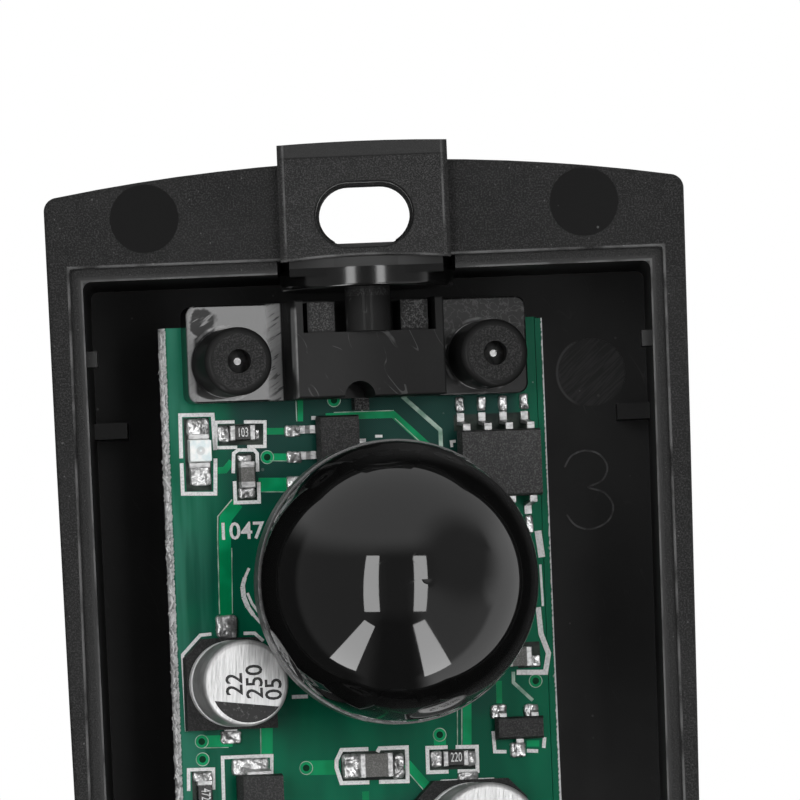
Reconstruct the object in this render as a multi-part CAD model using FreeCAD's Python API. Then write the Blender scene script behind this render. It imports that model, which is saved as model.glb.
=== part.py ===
import FreeCAD, Part
import math
import os

# Infrared sensor for flush mounting, opened: a tub with a fixing flange, two bearing brackets that
# hook over the flange's ends, and a swivelling head between them that carries the board and the lens.
# Millimetres. +Z is up, -Y is the front, +X is to the right of someone who faces the front.
# The origin lies on the wall plane, on the swivel's centre line and halfway up the flange.

# Circuit board
BOARD_WIDTH = 22.4
BOARD_THICKNESS = 1.6
BOARD_SCORE_DEPTH = 0.5       # depth of the score line from each face, where the board was snapped off
BOARD_SCORE_RUN = 0.28        # how far the score's slope runs in from the snapped edge
BOARD_BEHIND_AXIS = 5.0       # swivel axis to the board's front face

# Swivel
SWIVEL_AT_REST = 12.0         # degrees the head is turned in the stored pose
SWIVEL_LIMIT = 28.0           # degrees from straight ahead, each way
PIN_DIAMETER = 2.6
PIN_IN_BRACKET = 1.1          # how far a pin reaches into its bearing
PIN_RADIAL_CLEARANCE = 0.05
PIN_END_CLEARANCE = 0.15

# Head carriers
CARRIER_WIDTH = 20.1
CARRIER_HEIGHT = 5.65
CARRIER_PLATE = 1.7           # thickness of the plate on the board
CARRIER_OVERHANG = 1.2        # how far the plate stands past the board's end
CARRIER_CORNER = 0.6
BLOCK_WIDTH = 8.8
BLOCK_AHEAD_OF_AXIS = 0.3
BLOCK_WALL = 0.5              # cheek left beside the notch
NOTCH_HEIGHT = 1.9
NOTCH_BACK = 2.3              # how far the notch reaches behind the axis
LUG_WIDTH = 1.6
LUG_OFFSET = 2.75             # lug centre from the pin's centre line
LUG_BEHIND_AXIS = 0.15
LUG_BELOW_EDGE = 0.15
FINGER_NOTCH_X = -0.7
FINGER_NOTCH_RADIUS = 0.9
FINGER_NOTCH_DEPTH = 3.0
BOSS_SPACING = 15.08
BOSS_ABOVE_EDGE = 2.25        # boss centre from the carrier's inner edge
KEY_X = 0.3                   # small tab on the board under the notch
KEY_WIDTH = 0.85
KEY_REACH = 0.65
KEY_HEIGHT = 0.9
BOSS_SHIFT = -0.25            # of both bosses, from the pin's centre line
BOSS_DIAMETER = 3.95
BOSS_HEIGHT = 3.9
BOSS_EDGE_ROUND = 0.4
PILOT_DIAMETER = 1.4
PILOT_DEPTH = 0.9
MOULDED_EDGE = 0.12           # small rounding of moulded edges

# Board screws, driven from behind
SCREW_DIAMETER = 1.8
SCREW_CLEARANCE = 0.05
SCREW_HOLE_CLEARANCE = 0.2
SCREW_HEAD_DIAMETER = 3.4
SCREW_HEAD_HEIGHT = 1.2
SCREW_TIP = 0.75
SCREW_TIP_DIAMETER = 0.4
SCREW_RECESS_WIDTH = 0.5
SCREW_RECESS_LENGTH = 1.9
SCREW_RECESS_DEPTH = 0.6

# Lens, its holder and the emitter behind it
LENS_DIAMETER = 16.3          # over its rim
LENS_DOME_DIAMETER = 16.1
LENS_RIM_ABOVE_BOARD = 10.3
LENS_RISE = 8.0               # rim to crown, all but half a ball
LENS_SKIRT = 1.2
HOLDER_FOOT_DIAMETER = 9.8
HOLDER_FOOT_HEIGHT = 2.5
HOLDER_WALL = 0.95
HOLDER_TOP_DIAMETER = 15.2
HOLDER_RIM_HEIGHT = 0.9
HOLDER_PEG_DIAMETER = 0.8
HOLDER_PEG_CLEARANCE = 0.06
EMITTER_DIAMETER = 3.0
EMITTER_FLANGE_DIAMETER = 3.8
EMITTER_FLANGE_HEIGHT = 1.0
EMITTER_HEIGHT = 5.3
EMITTER_STANDOFF = 0.3
LEAD_PITCH = 2.54
LEAD_THICKNESS = 0.5
LEAD_TAIL = 1.4               # what stands out behind the board
LEAD_HOLE_CLEARANCE = 0.15
LEAD_HOLE_DIAMETER = math.sqrt(2) * LEAD_THICKNESS + 2 * LEAD_HOLE_CLEARANCE

# Tub and flange
SIDE_ROOM_TOP = 5.08          # board edge to tub wall, at the tub's upper end
SIDE_ROOM_BOTTOM = 4.69
END_ROOM = 1.42               # carrier to tub wall
FLOOR_ROOM = 1.1              # left under the board's edge at the swivel's limit
TUB_SIDE_WALL = 1.1
TUB_END_WALL = 1.5
TUB_FLOOR = 1.6
TUB_CORNER = 1.0
TUB_BACK_EDGE = 0.8
CAVITY_CORNER = 0.5
LEDGE_SIDE_TOP = 0.71
LEDGE_SIDE_BOTTOM = 0.97
LEDGE_END = 0.75
RECESS_DEPTH = 0.5
RECESS_CORNER = 0.3
RIM_SIDE_TOP = 1.36
RIM_SIDE_BOTTOM = 0.5
RIM_SIDE_BULGE = 0.1
FLANGE_END = 5.6              # recess to the crown of the flange's end
FLANGE_ARCH_RADIUS = 107.0
FLANGE_THICKNESS = 2.5
FLANGE_CORNER = 0.8
FLANGE_EDGE = 0.3
AXIS_BEHIND_FLANGE = 4.0      # flange face to swivel axis
FIXING_SLOT_LENGTH = 5.2
FIXING_SLOT_WIDTH = 3.4
FIXING_SLOT_FROM_CROWN = 3.14
CABLE_HOLE_DIAMETER = 6.0
CABLE_HOLE_HEIGHT = -16.0     # centre of the cable hole, from the flange's centre
EJECTOR_MARK_DIAMETER = 4.0
EJECTOR_MARK_DEPTH = 0.08
EJECTOR_MARK_OFFSET = 12.6
EJECTOR_MARK_FROM_CROWN = 2.87
FLOOR_MARK_OFFSET = 12.98
FLOOR_MARK_HEIGHT = 18.8
CATCH_FROM_END = 4.4          # cavity end to the cover catch
CATCH_REACH = 0.6
CATCH_HEIGHT = 0.9
CATCH_LENGTH = 2.4
CATCH_BELOW_LEDGE = 1.2
RIB_FROM_END = 8.3
RIB_REACH = 1.9
RIB_HEIGHT = 0.93
RIB_RISE = 4.2                # rib above the tub's floor

# Bearing brackets
BRACKET_WIDTH = 9.74
BRACKET_PLATE = 1.0
BRACKET_PLATE_ABOVE_DISC = 0.69
BRACKET_PLATE_SAG = 0.27      # by which the plate's lower corners hang below the middle of its lower edge
BRACKET_NECK_DIAMETER = 9.7
BRACKET_NECK_HEIGHT = 0.6
BRACKET_RISER_WIDTH = 8.8     # joins the neck to the plate from behind
BRACKET_RISER_DEPTH = 1.2     # behind the flange's face
BRACKET_RISER_HEIGHT = 1.45
BRACKET_OVER_CROWN = 1.1
BRACKET_BEVEL_RUN = 0.5
BRACKET_BEVEL_HEIGHT = 0.85
BRACKET_SEAT_CLEARANCE = 0.05
BRACKET_POCKET_CLEARANCE = 0.08
BRACKET_SLOT_LENGTH = 5.55
BRACKET_SLOT_WIDTH = 3.7
BRACKET_SLOT_EDGE = 0.12
BEARING_DISC_DIAMETER = 10.04
BEARING_DISC_THICKNESS = 1.1
BEARING_DISC_ROUND = 0.23
BEARING_DISC_GAP = 0.525      # carrier to bearing disc

# Spaces that stack up to the board's length, from the upper carrier down to the lower one
REGULATOR_BELOW_CARRIER = 0.925
HOLDER_BELOW_REGULATOR = 0.45
DIODE_BELOW_LENS = 12.9       # between their centres
TERMINAL_BELOW_DIODE = 0.79
CARRIER_BELOW_TERMINAL = 0.465

# Parts in the middle of the board: offset from the centre line, and distance below the lens centre
REGULATOR_X = -1.2
LARGE_CHIP_PLACE = (0.15, 10.52)
MIDDLE_RESISTOR_PLACE = (4.95, 10.3)

# Parts near the board's left edge: distance in from it, and below the upper carrier or the lens centre
INDICATOR_FROM_LEFT = (1.9, 2.705)
UPPER_RESISTOR_FROM_LEFT = (4.37, 1.755)
UPPER_CAPACITOR_FROM_LEFT = (4.62, 4.155)
SMALL_CAPACITOR_FROM_LEFT = (3.15, 5.45)
LEFT_RESISTOR_FROM_LEFT = (1.35, 11.85)
DIODE_FROM_LEFT = 4.55
TERMINAL_FROM_LEFT = 3.9

# Parts near its right edge, in the same way
AMPLIFIER_FROM_RIGHT = (3.02, 4.025)
TRANSISTOR_FROM_RIGHT = (2.25, 8.66)
LARGE_CAPACITOR_FROM_RIGHT = (5.3, 14.85)
RIGHT_CAPACITOR_FROM_RIGHT = (1.05, 4.4)

# Chip parts: length, width, height and end cap
CHIP_LENGTH = 2.0
CHIP_WIDTH = 1.25
RESISTOR_HEIGHT = 0.5
CHIP_CAPACITOR_HEIGHT = 0.9
CHIP_END_CAP = 0.35
LARGE_CHIP_LENGTH = 3.2
LARGE_CHIP_WIDTH = 1.6
LARGE_CHIP_HEIGHT = 1.1
LARGE_CHIP_END_CAP = 0.5
INDICATOR_BASE_HEIGHT = 0.35
INDICATOR_WINDOW_HEIGHT = 0.45
INDICATOR_WINDOW_LENGTH = 1.2

# Moulded packages
PACKAGE_STANDOFF = 0.1
PACKAGE_DRAFT = 0.12
LEAD_SHEET = 0.2
LEAD_KNEE = 0.35              # share of a lead's reach before it bends down
AMPLIFIER_STANDOFF = 0.95     # it stands on high leads
AMPLIFIER_LENGTH = 4.9
AMPLIFIER_WIDTH = 3.9
AMPLIFIER_HEIGHT = 1.45
AMPLIFIER_LEAD_PITCH = 1.27
AMPLIFIER_LEAD_WIDTH = 0.42
AMPLIFIER_LEAD_REACH = 1.05
REGULATOR_LENGTH = 4.5
REGULATOR_WIDTH = 2.5
REGULATOR_HEIGHT = 1.5
REGULATOR_LEAD_PITCH = 1.5
REGULATOR_LEAD_WIDTH = 0.45
REGULATOR_LEAD_REACH = 0.95
REGULATOR_TAB_WIDTH = 1.7
REGULATOR_TAB_REACH = 0.5
TRANSISTOR_LENGTH = 2.9
TRANSISTOR_WIDTH = 1.3
TRANSISTOR_HEIGHT = 1.0
TRANSISTOR_LEAD_PITCH = 1.9
TRANSISTOR_LEAD_WIDTH = 0.42
TRANSISTOR_LEAD_REACH = 0.6
DIODE_LENGTH = 4.3
DIODE_WIDTH = 2.6
DIODE_HEIGHT = 2.1
DIODE_LEAD_WIDTH = 1.45
DIODE_LEAD_REACH = 0.45

# Capacitor cans
SMALL_CAN_DIAMETER = 5.0
SMALL_BASE_SIDE = 5.3
LARGE_CAN_DIAMETER = 6.3
LARGE_BASE_SIDE = 6.6
CAN_TOP_ABOVE_BOARD = 5.4
CAN_BASE_HEIGHT = 0.9
CAN_BASE_CORNER = 1.1
CAN_NECK_HEIGHT = 0.8
CAN_NECK_DEPTH = 0.25
CAN_TOP_ROUND = 0.3
CAN_TERMINAL_WIDTH = 0.75
CAN_TERMINAL_REACH = 0.45

# Terminal block, wires in from the board's left edge
TERMINAL_PITCH = 3.81
TERMINAL_POLES = 2
TERMINAL_DEPTH = 7.0
TERMINAL_HEIGHT = 8.0
TERMINAL_SHOULDER = 5.2       # height of the entry side below the slope
TERMINAL_SLOPE = 1.3
TERMINAL_WELL_DIAMETER = 2.9
TERMINAL_ENTRY_WIDTH = 2.5
TERMINAL_ENTRY_HEIGHT = 2.7
TERMINAL_ENTRY_FLOOR = 1.1
CLAMP_DEPTH = 3.2
CLAMP_WALL = 0.4
CLAMP_CLEARANCE = 0.05
CLAMP_SCREW_DIAMETER = 1.6
CLAMP_HEAD_DIAMETER = 2.6
CLAMP_HEAD_HEIGHT = 1.1
CLAMP_HEAD_BELOW_TOP = 0.6
CLAMP_SLOT_WIDTH = 0.45
CLAMP_SLOT_DEPTH = 0.55

# Places worked out from the sizes above, in the head's own frame: axis at x = y = 0
board_front = BOARD_BEHIND_AXIS
board_back = board_front + BOARD_THICKNESS
plate_front = board_front - CARRIER_PLATE
terminal_length = TERMINAL_PITCH * TERMINAL_POLES
between_carriers = (
    REGULATOR_BELOW_CARRIER + REGULATOR_LENGTH + HOLDER_BELOW_REGULATOR + HOLDER_FOOT_DIAMETER / 2
    + DIODE_BELOW_LENS + DIODE_LENGTH / 2 + DIODE_LEAD_REACH + TERMINAL_BELOW_DIODE
    + terminal_length + CARRIER_BELOW_TERMINAL
)
board_length = between_carriers + 2 * (CARRIER_HEIGHT - CARRIER_OVERHANG)
carrier_top = board_length / 2 + CARRIER_OVERHANG
carrier_low = carrier_top - CARRIER_HEIGHT
boss_height = carrier_low + BOSS_ABOVE_EDGE
boss_front = plate_front - BOSS_HEIGHT
regulator_top = carrier_low - REGULATOR_BELOW_CARRIER
lens_height = regulator_top - REGULATOR_LENGTH - HOLDER_BELOW_REGULATOR - HOLDER_FOOT_DIAMETER / 2
lens_rim = board_front - LENS_RIM_ABOVE_BOARD
lens_back = lens_rim + LENS_SKIRT
disc_low = carrier_top + BEARING_DISC_GAP
disc_high = disc_low + BEARING_DISC_THICKNESS
pin_end = disc_low + PIN_IN_BRACKET

# Places in the tub's frame: wall plane at y = 0
flange_face = -FLANGE_THICKNESS
axis_depth = flange_face + AXIS_BEHIND_FLANGE
limit = math.radians(SWIVEL_LIMIT)
board_swing = board_back * math.cos(limit) + BOARD_WIDTH / 2 * math.sin(limit)
floor_front = axis_depth + board_swing + FLOOR_ROOM
floor_back = floor_front + TUB_FLOOR
cavity_half_top = BOARD_WIDTH / 2 + SIDE_ROOM_TOP
cavity_half_bottom = BOARD_WIDTH / 2 + SIDE_ROOM_BOTTOM
cavity_end = carrier_top + END_ROOM
recess_half_top = cavity_half_top + LEDGE_SIDE_TOP
recess_half_bottom = cavity_half_bottom + LEDGE_SIDE_BOTTOM
recess_end = cavity_end + LEDGE_END
flange_half_top = recess_half_top + RIM_SIDE_TOP
flange_half_bottom = recess_half_bottom + RIM_SIDE_BOTTOM
crown = recess_end + FLANGE_END
slot_height = crown - FIXING_SLOT_FROM_CROWN
OVERLAP = 0.4                 # how far joined primitives run into each other


def from_left(place, top):
    """A place on the board as (x, z), from its distances to the left edge and below a height."""
    return (place[0] - BOARD_WIDTH / 2, top - place[1])


def from_right(place, top):
    """A place on the board as (x, z), from its distances to the right edge and below a height."""
    return (BOARD_WIDTH / 2 - place[0], top - place[1])


def below_lens(place):
    """A place on the board as (x, z), from its offset and its distance below the lens centre."""
    return (place[0], lens_height - place[1])


REGULATOR_AT = (REGULATOR_X, regulator_top - REGULATOR_LENGTH / 2)
AMPLIFIER_AT = from_right(AMPLIFIER_FROM_RIGHT, carrier_low)
INDICATOR_AT = from_left(INDICATOR_FROM_LEFT, carrier_low)
DIODE_AT = from_left((DIODE_FROM_LEFT, DIODE_BELOW_LENS), lens_height)
TRANSISTOR_AT = from_right(TRANSISTOR_FROM_RIGHT, lens_height)
SMALL_CAPACITOR_AT = from_left(SMALL_CAPACITOR_FROM_LEFT, lens_height)
LARGE_CAPACITOR_AT = from_right(LARGE_CAPACITOR_FROM_RIGHT, lens_height)
LARGE_CHIP_AT = below_lens(LARGE_CHIP_PLACE)
LYING_RESISTORS = (from_left(UPPER_RESISTOR_FROM_LEFT, carrier_low), below_lens(MIDDLE_RESISTOR_PLACE))
STANDING_RESISTORS = (from_left(LEFT_RESISTOR_FROM_LEFT, lens_height),)
STANDING_CAPACITORS = (from_left(UPPER_CAPACITOR_FROM_LEFT, carrier_low),
                       from_right(RIGHT_CAPACITOR_FROM_RIGHT, lens_height))
TERMINAL_AT = (TERMINAL_FROM_LEFT - BOARD_WIDTH / 2,
               -carrier_low + CARRIER_BELOW_TERMINAL + terminal_length / 2)


def vec(x, y, z):
    """A point or direction."""
    return FreeCAD.Vector(x, y, z)


def block(x0, x1, y0, y1, z0, z1):
    """An upright box between two corners."""
    return Part.makeBox(x1 - x0, y1 - y0, z1 - z0, vec(x0, y0, z0))


def rod_y(x, z, y0, y1, diameter):
    """A cylinder that runs from front to back."""
    return Part.makeCylinder(diameter / 2, y1 - y0, vec(x, y0, z), vec(0, 1, 0))


def rod_z(x, y, z0, z1, diameter):
    """An upright cylinder."""
    return Part.makeCylinder(diameter / 2, z1 - z0, vec(x, y, z0), vec(0, 0, 1))


def polygon_prism(points, y0, y1):
    """A straight-sided outline in x and z, extruded from y0 to y1."""
    corners = [vec(x, y0, z) for x, z in points]
    outline = Part.makePolygon(corners + corners[:1])
    return Part.Face(outline).extrude(vec(0, y1 - y0, 0))


def stadium(x, z, y0, y1, length, width):
    """A slot-shaped prism that lies crosswise."""
    straight = (length - width) / 2
    middle = block(x - straight, x + straight, y0, y1, z - width / 2, z + width / 2)
    left = rod_y(x - straight, z, y0, y1, width)
    right = rod_y(x + straight, z, y0, y1, width)
    return middle.fuse([left, right]).removeSplitter()


def spin(profile, x=0.0, z=0.0):
    """Turn a closed profile, given as edges in radius and depth, about a front-to-back line."""
    solid = Part.Face(Part.Wire(profile)).revolve(vec(0, 0, 0), vec(0, 1, 0), 360)
    solid.translate(vec(x, 0, z))
    return solid


def closed_lines(points):
    """Straight edges through (radius, depth) points, back to the first."""
    corners = [vec(r, y, 0) for r, y in points]
    ends = corners[1:] + corners[:1]
    return [Part.makeLine(a, b) for a, b in zip(corners, ends)]


def joined(first, others):
    """Fuse solids into one and drop the seams between coplanar faces."""
    return first.fuse(list(others)).removeSplitter()


def edges_along_y(shape):
    """Straight edges that run from front to back."""
    found = []
    for edge in shape.Edges:
        bounds = edge.BoundBox
        if bounds.YLength > 0.01 and bounds.XLength < 1e-6 and bounds.ZLength < 1e-6:
            found.append(edge)
    return found


def edges_at_y(shape, y):
    """Edges that lie in the plane at depth y."""
    found = []
    for edge in shape.Edges:
        bounds = edge.BoundBox
        if abs(bounds.YMin - y) < 1e-6 and abs(bounds.YMax - y) < 1e-6:
            found.append(edge)
    return found


def trapezoid(half_top, half_bottom, end, y0, y1, corner):
    """The tub's outline: a rectangle that narrows towards the bottom, with rounded corners."""
    points = ((-half_top, end), (half_top, end), (half_bottom, -end), (-half_bottom, -end))
    prism = polygon_prism(points, y0, y1)
    return prism.makeFillet(corner, edges_along_y(prism))


def mirrored(shape):
    """The same shape at the other end of the sensor."""
    return shape.mirror(vec(0, 0, 0), vec(0, 0, 1))


def both_ends(shapes):
    """The shapes and their mirror images."""
    shapes = list(shapes)
    return shapes + [mirrored(shape) for shape in shapes]


def in_head(shapes):
    """Turn pieces of the head to the stored pose and set them on the swivel axis."""
    solids = []
    for shape in shapes:
        for solid in shape.Solids:
            placed = solid.copy()
            placed.rotate(vec(0, 0, 0), vec(0, 0, 1), SWIVEL_AT_REST)
            placed.translate(vec(0, axis_depth, 0))
            solids.append(placed)
    return solids[0] if len(solids) == 1 else Part.makeCompound(solids)


# Tub and flange
def crown_height(half, lift=0.0):
    """Height of the flange's arched end at a distance from the centre line."""
    radius = FLANGE_ARCH_RADIUS + lift
    return crown - FLANGE_ARCH_RADIUS + math.sqrt(radius * radius - half * half)


def flange_plate():
    """The flange: arched ends, and sides that draw in towards the bottom."""
    top_z = crown_height(flange_half_top)
    bottom_z = crown_height(flange_half_bottom)
    middle_half = (flange_half_top + flange_half_bottom) / 2 + RIM_SIDE_BULGE
    top_left = vec(-flange_half_top, flange_face, top_z)
    top_right = vec(flange_half_top, flange_face, top_z)
    bottom_left = vec(-flange_half_bottom, flange_face, -bottom_z)
    bottom_right = vec(flange_half_bottom, flange_face, -bottom_z)
    arcs = [
        Part.Arc(top_left, vec(0, flange_face, crown), top_right),
        Part.Arc(top_right, vec(middle_half, flange_face, 0), bottom_right),
        Part.Arc(bottom_right, vec(0, flange_face, -crown), bottom_left),
        Part.Arc(bottom_left, vec(-middle_half, flange_face, 0), top_left),
    ]
    outline = Part.Wire([arc.toShape() for arc in arcs])
    plate = Part.Face(outline).extrude(vec(0, FLANGE_THICKNESS, 0))
    plate = plate.makeFillet(FLANGE_CORNER, edges_along_y(plate))
    return plate.makeFillet(FLANGE_EDGE, edges_at_y(plate, flange_face))


def cover_recess():
    """The stepped seat for the front cover."""
    ledge = flange_face + RECESS_DEPTH
    return trapezoid(recess_half_top, recess_half_bottom, recess_end, flange_face - 1, ledge, RECESS_CORNER)


def wall_features():
    """Cover catches high on the side walls, and stop ribs on the floor, at both ends and sides."""
    slope = (cavity_half_top - cavity_half_bottom) / (2 * cavity_end)
    ledge = flange_face + RECESS_DEPTH
    shapes = []
    for end in (1, -1):
        for side in (1, -1):
            for from_end, reach, height, front, back in (
                (CATCH_FROM_END, CATCH_REACH, CATCH_HEIGHT, ledge + CATCH_BELOW_LEDGE,
                 ledge + CATCH_BELOW_LEDGE + CATCH_LENGTH),
                (RIB_FROM_END, RIB_REACH, RIB_HEIGHT, floor_front - RIB_RISE, floor_front + OVERLAP),
            ):
                z = end * (cavity_end - from_end)
                wall = (cavity_half_top + cavity_half_bottom) / 2 + slope * z
                inner = side * (wall - reach)
                outer = side * (wall + OVERLAP)
                shapes.append(block(min(inner, outer), max(inner, outer), front, back,
                                    z - height / 2, z + height / 2))
    return shapes


def bracket_pocket():
    """What the tub's end wall leaves free for a bracket's disc, neck and riser."""
    gap = BRACKET_POCKET_CLEARANCE
    low = cavity_end - 1
    half = BEARING_DISC_DIAMETER / 2 + gap
    riser_half = BRACKET_RISER_WIDTH / 2 + gap
    disc_space = rod_z(0, axis_depth, low, disc_high + gap, 2 * half)
    front_space = block(-half, half, flange_face - 1, axis_depth, low, recess_end)
    neck_space = rod_z(0, axis_depth, low, disc_high + BRACKET_NECK_HEIGHT + gap,
                       BRACKET_NECK_DIAMETER + 2 * gap)
    riser_space = block(-riser_half, riser_half, flange_face - 1, flange_face + BRACKET_RISER_DEPTH + gap,
                        low, disc_high + BRACKET_RISER_HEIGHT + gap)
    return disc_space.fuse([front_space, neck_space, riser_space])


def rear_housing():
    """The tub and its fixing flange, moulded as one piece."""
    plate = flange_plate().cut(cover_recess())
    plate = plate.makeFillet(MOULDED_EDGE, recess_front_edges(plate))
    tub = trapezoid(cavity_half_top + TUB_SIDE_WALL, cavity_half_bottom + TUB_SIDE_WALL,
                    cavity_end + TUB_END_WALL, -OVERLAP, floor_back, TUB_CORNER)
    tub = tub.makeFillet(TUB_BACK_EDGE, edges_at_y(tub, floor_back))
    cavity = trapezoid(cavity_half_top, cavity_half_bottom, cavity_end,
                       flange_face - 1, floor_front, CAVITY_CORNER)
    housing = plate.fuse(tub).cut(cavity)
    housing = joined(housing, wall_features())
    pocket = bracket_pocket()
    slot = stadium(0, slot_height, flange_face - 1, 1, FIXING_SLOT_LENGTH, FIXING_SLOT_WIDTH)
    marks = []
    for side in (1, -1):
        marks.append(rod_y(side * EJECTOR_MARK_OFFSET, crown - EJECTOR_MARK_FROM_CROWN,
                           flange_face - 1, flange_face + EJECTOR_MARK_DEPTH, EJECTOR_MARK_DIAMETER))
    cuts = both_ends([pocket, slot] + marks)
    cuts.append(rod_y(FLOOR_MARK_OFFSET, FLOOR_MARK_HEIGHT, floor_front - 1,
                      floor_front + EJECTOR_MARK_DEPTH, EJECTOR_MARK_DIAMETER))
    cuts.append(rod_y(0, CABLE_HOLE_HEIGHT, floor_front - 1, floor_back + 1, CABLE_HOLE_DIAMETER))
    return housing.cut(cuts).removeSplitter()


def recess_front_edges(plate):
    """The recess's own edges in the flange face, inside the rounded outer edge."""
    inside = []
    for edge in edges_at_y(plate, flange_face):
        bounds = edge.BoundBox
        reach_x = max(abs(bounds.XMin), abs(bounds.XMax))
        reach_z = max(abs(bounds.ZMin), abs(bounds.ZMax))
        if reach_x < recess_half_top + 1e-4 and reach_z < recess_end + 1e-4:
            inside.append(edge)
    return inside


# Bearing brackets
def bracket_outline(lift):
    """The bracket's width between its curved lower edge and an arch that stands off the flange's crown."""
    half = BRACKET_WIDTH / 2
    side_z = crown_height(half, lift)
    low_z = disc_high + BRACKET_PLATE_ABOVE_DISC
    low_left = vec(-half, 0, low_z - BRACKET_PLATE_SAG)
    low_right = vec(half, 0, low_z - BRACKET_PLATE_SAG)
    high_left = vec(-half, 0, side_z)
    high_right = vec(half, 0, side_z)
    edges = [
        Part.Arc(low_left, vec(0, 0, low_z), low_right).toShape(),
        Part.makeLine(low_right, high_right),
        Part.Arc(high_right, vec(0, 0, crown + lift), high_left).toShape(),
        Part.makeLine(high_left, low_left),
    ]
    return Part.Face(Part.Wire(edges))


def bearing_bracket():
    """A plate on the flange that hooks over its crown and ends in the disc that bears the pin."""
    plate_face = flange_face - BRACKET_PLATE
    hook = bracket_outline(BRACKET_OVER_CROWN).extrude(vec(0, -plate_face, 0))
    under_hook = bracket_outline(BRACKET_SEAT_CLEARANCE).extrude(vec(0, FLANGE_THICKNESS + 1, 0))
    hook.translate(vec(0, plate_face, 0))
    under_hook.translate(vec(0, flange_face, 0))
    disc = rod_z(0, axis_depth, disc_low, disc_high, BEARING_DISC_DIAMETER)
    low_edge = [edge for edge in disc.Edges if abs(edge.BoundBox.ZMax - disc_low) < 1e-6]
    disc = disc.makeFillet(BEARING_DISC_ROUND, low_edge)
    neck = rod_z(0, axis_depth, disc_high - OVERLAP, disc_high + BRACKET_NECK_HEIGHT, BRACKET_NECK_DIAMETER)
    riser = block(-BRACKET_RISER_WIDTH / 2, BRACKET_RISER_WIDTH / 2, flange_face - BRACKET_PLATE / 2,
                  flange_face + BRACKET_RISER_DEPTH, disc_high - OVERLAP, disc_high + BRACKET_RISER_HEIGHT)
    bracket = joined(hook.cut(under_hook).cut(bevel_wedge(plate_face)), [riser, neck, disc])
    bore = rod_z(0, axis_depth, disc_low - 1, pin_end + PIN_END_CLEARANCE,
                 PIN_DIAMETER + 2 * PIN_RADIAL_CLEARANCE)
    slot = stadium(0, slot_height, plate_face - 1, flange_face + 1, BRACKET_SLOT_LENGTH, BRACKET_SLOT_WIDTH)
    bracket = bracket.cut([bore, slot]).removeSplitter()
    return bracket.makeFillet(BRACKET_SLOT_EDGE, slot_rim(bracket, plate_face))


def slot_rim(bracket, y):
    """The front edges of the bracket's slot."""
    rim = []
    for edge in edges_at_y(bracket, y):
        bounds = edge.BoundBox
        reach_x = max(abs(bounds.XMin), abs(bounds.XMax))
        reach_z = max(abs(bounds.ZMin - slot_height), abs(bounds.ZMax - slot_height))
        if reach_x < BRACKET_SLOT_LENGTH / 2 + 1e-4 and reach_z < BRACKET_SLOT_WIDTH / 2 + 1e-4:
            rim.append(edge)
    return rim


def bevel_wedge(plate_face):
    """What the bevel takes off the bracket's top front edge."""
    side_top = crown_height(BRACKET_WIDTH / 2, BRACKET_OVER_CROWN)
    slope = BRACKET_BEVEL_HEIGHT / BRACKET_BEVEL_RUN
    front = plate_face - 1
    back = plate_face + BRACKET_BEVEL_RUN + 1
    low = side_top - BRACKET_BEVEL_HEIGHT - slope
    high = side_top + slope
    corner = vec(0, front, low)
    profile = Part.makePolygon([corner, vec(0, back, high), vec(0, front, high), corner])
    solid = Part.Face(profile).extrude(vec(2 * BRACKET_WIDTH, 0, 0))
    solid.translate(vec(-BRACKET_WIDTH, 0, 0))
    return solid


# Head
def upper_carrier():
    """Plate with two screw bosses and a raised block that carries the swivel pin."""
    corners = ((-CARRIER_WIDTH / 2, carrier_low), (CARRIER_WIDTH / 2, carrier_low),
               (CARRIER_WIDTH / 2, carrier_top), (-CARRIER_WIDTH / 2, carrier_top))
    plate = polygon_prism(corners, plate_front, board_front)
    plate = plate.makeFillet(CARRIER_CORNER, edges_along_y(plate))
    plate = plate.makeFillet(MOULDED_EDGE, edges_at_y(plate, plate_front))
    half = BLOCK_WIDTH / 2
    front = -BLOCK_AHEAD_OF_AXIS
    raised = block(-half, half, front, plate_front + OVERLAP, carrier_low, carrier_top)
    raised = raised.makeFillet(MOULDED_EDGE, edges_at_y(raised, front))
    notch_low = carrier_top - NOTCH_HEIGHT
    notch = block(-half + BLOCK_WALL, half - BLOCK_WALL, front - 1, NOTCH_BACK, notch_low, carrier_top + 1)
    lugs = []
    for side in (1, -1):
        centre = side * LUG_OFFSET
        lugs.append(block(centre - LUG_WIDTH / 2, centre + LUG_WIDTH / 2, LUG_BEHIND_AXIS,
                          NOTCH_BACK + OVERLAP, notch_low - OVERLAP, carrier_top - LUG_BELOW_EDGE))
    pin = rod_z(0, 0, notch_low, pin_end, PIN_DIAMETER)
    root = rod_z(0, 0, notch_low - OVERLAP, notch_low, 2 * BLOCK_AHEAD_OF_AXIS)
    finger_notch = rod_y(FINGER_NOTCH_X, carrier_low, front - 1, front + FINGER_NOTCH_DEPTH,
                         2 * FINGER_NOTCH_RADIUS)
    carrier = plate.fuse([raised]).cut([notch, finger_notch])
    key = block(KEY_X - KEY_WIDTH / 2, KEY_X + KEY_WIDTH / 2, board_front - KEY_HEIGHT, board_front,
                carrier_low - KEY_REACH, carrier_low + OVERLAP)
    carrier = joined(carrier, lugs + [pin, root, key] + bosses())
    return carrier.cut(boss_holes()).removeSplitter()


def bosses():
    """The two screw bosses on the carrier's plate."""
    shapes = []
    for side in (1, -1):
        boss = rod_y(BOSS_SHIFT + side * BOSS_SPACING / 2, boss_height, boss_front, plate_front + OVERLAP,
                     BOSS_DIAMETER)
        shapes.append(boss.makeFillet(BOSS_EDGE_ROUND, edges_at_y(boss, boss_front)))
    return shapes


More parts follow.
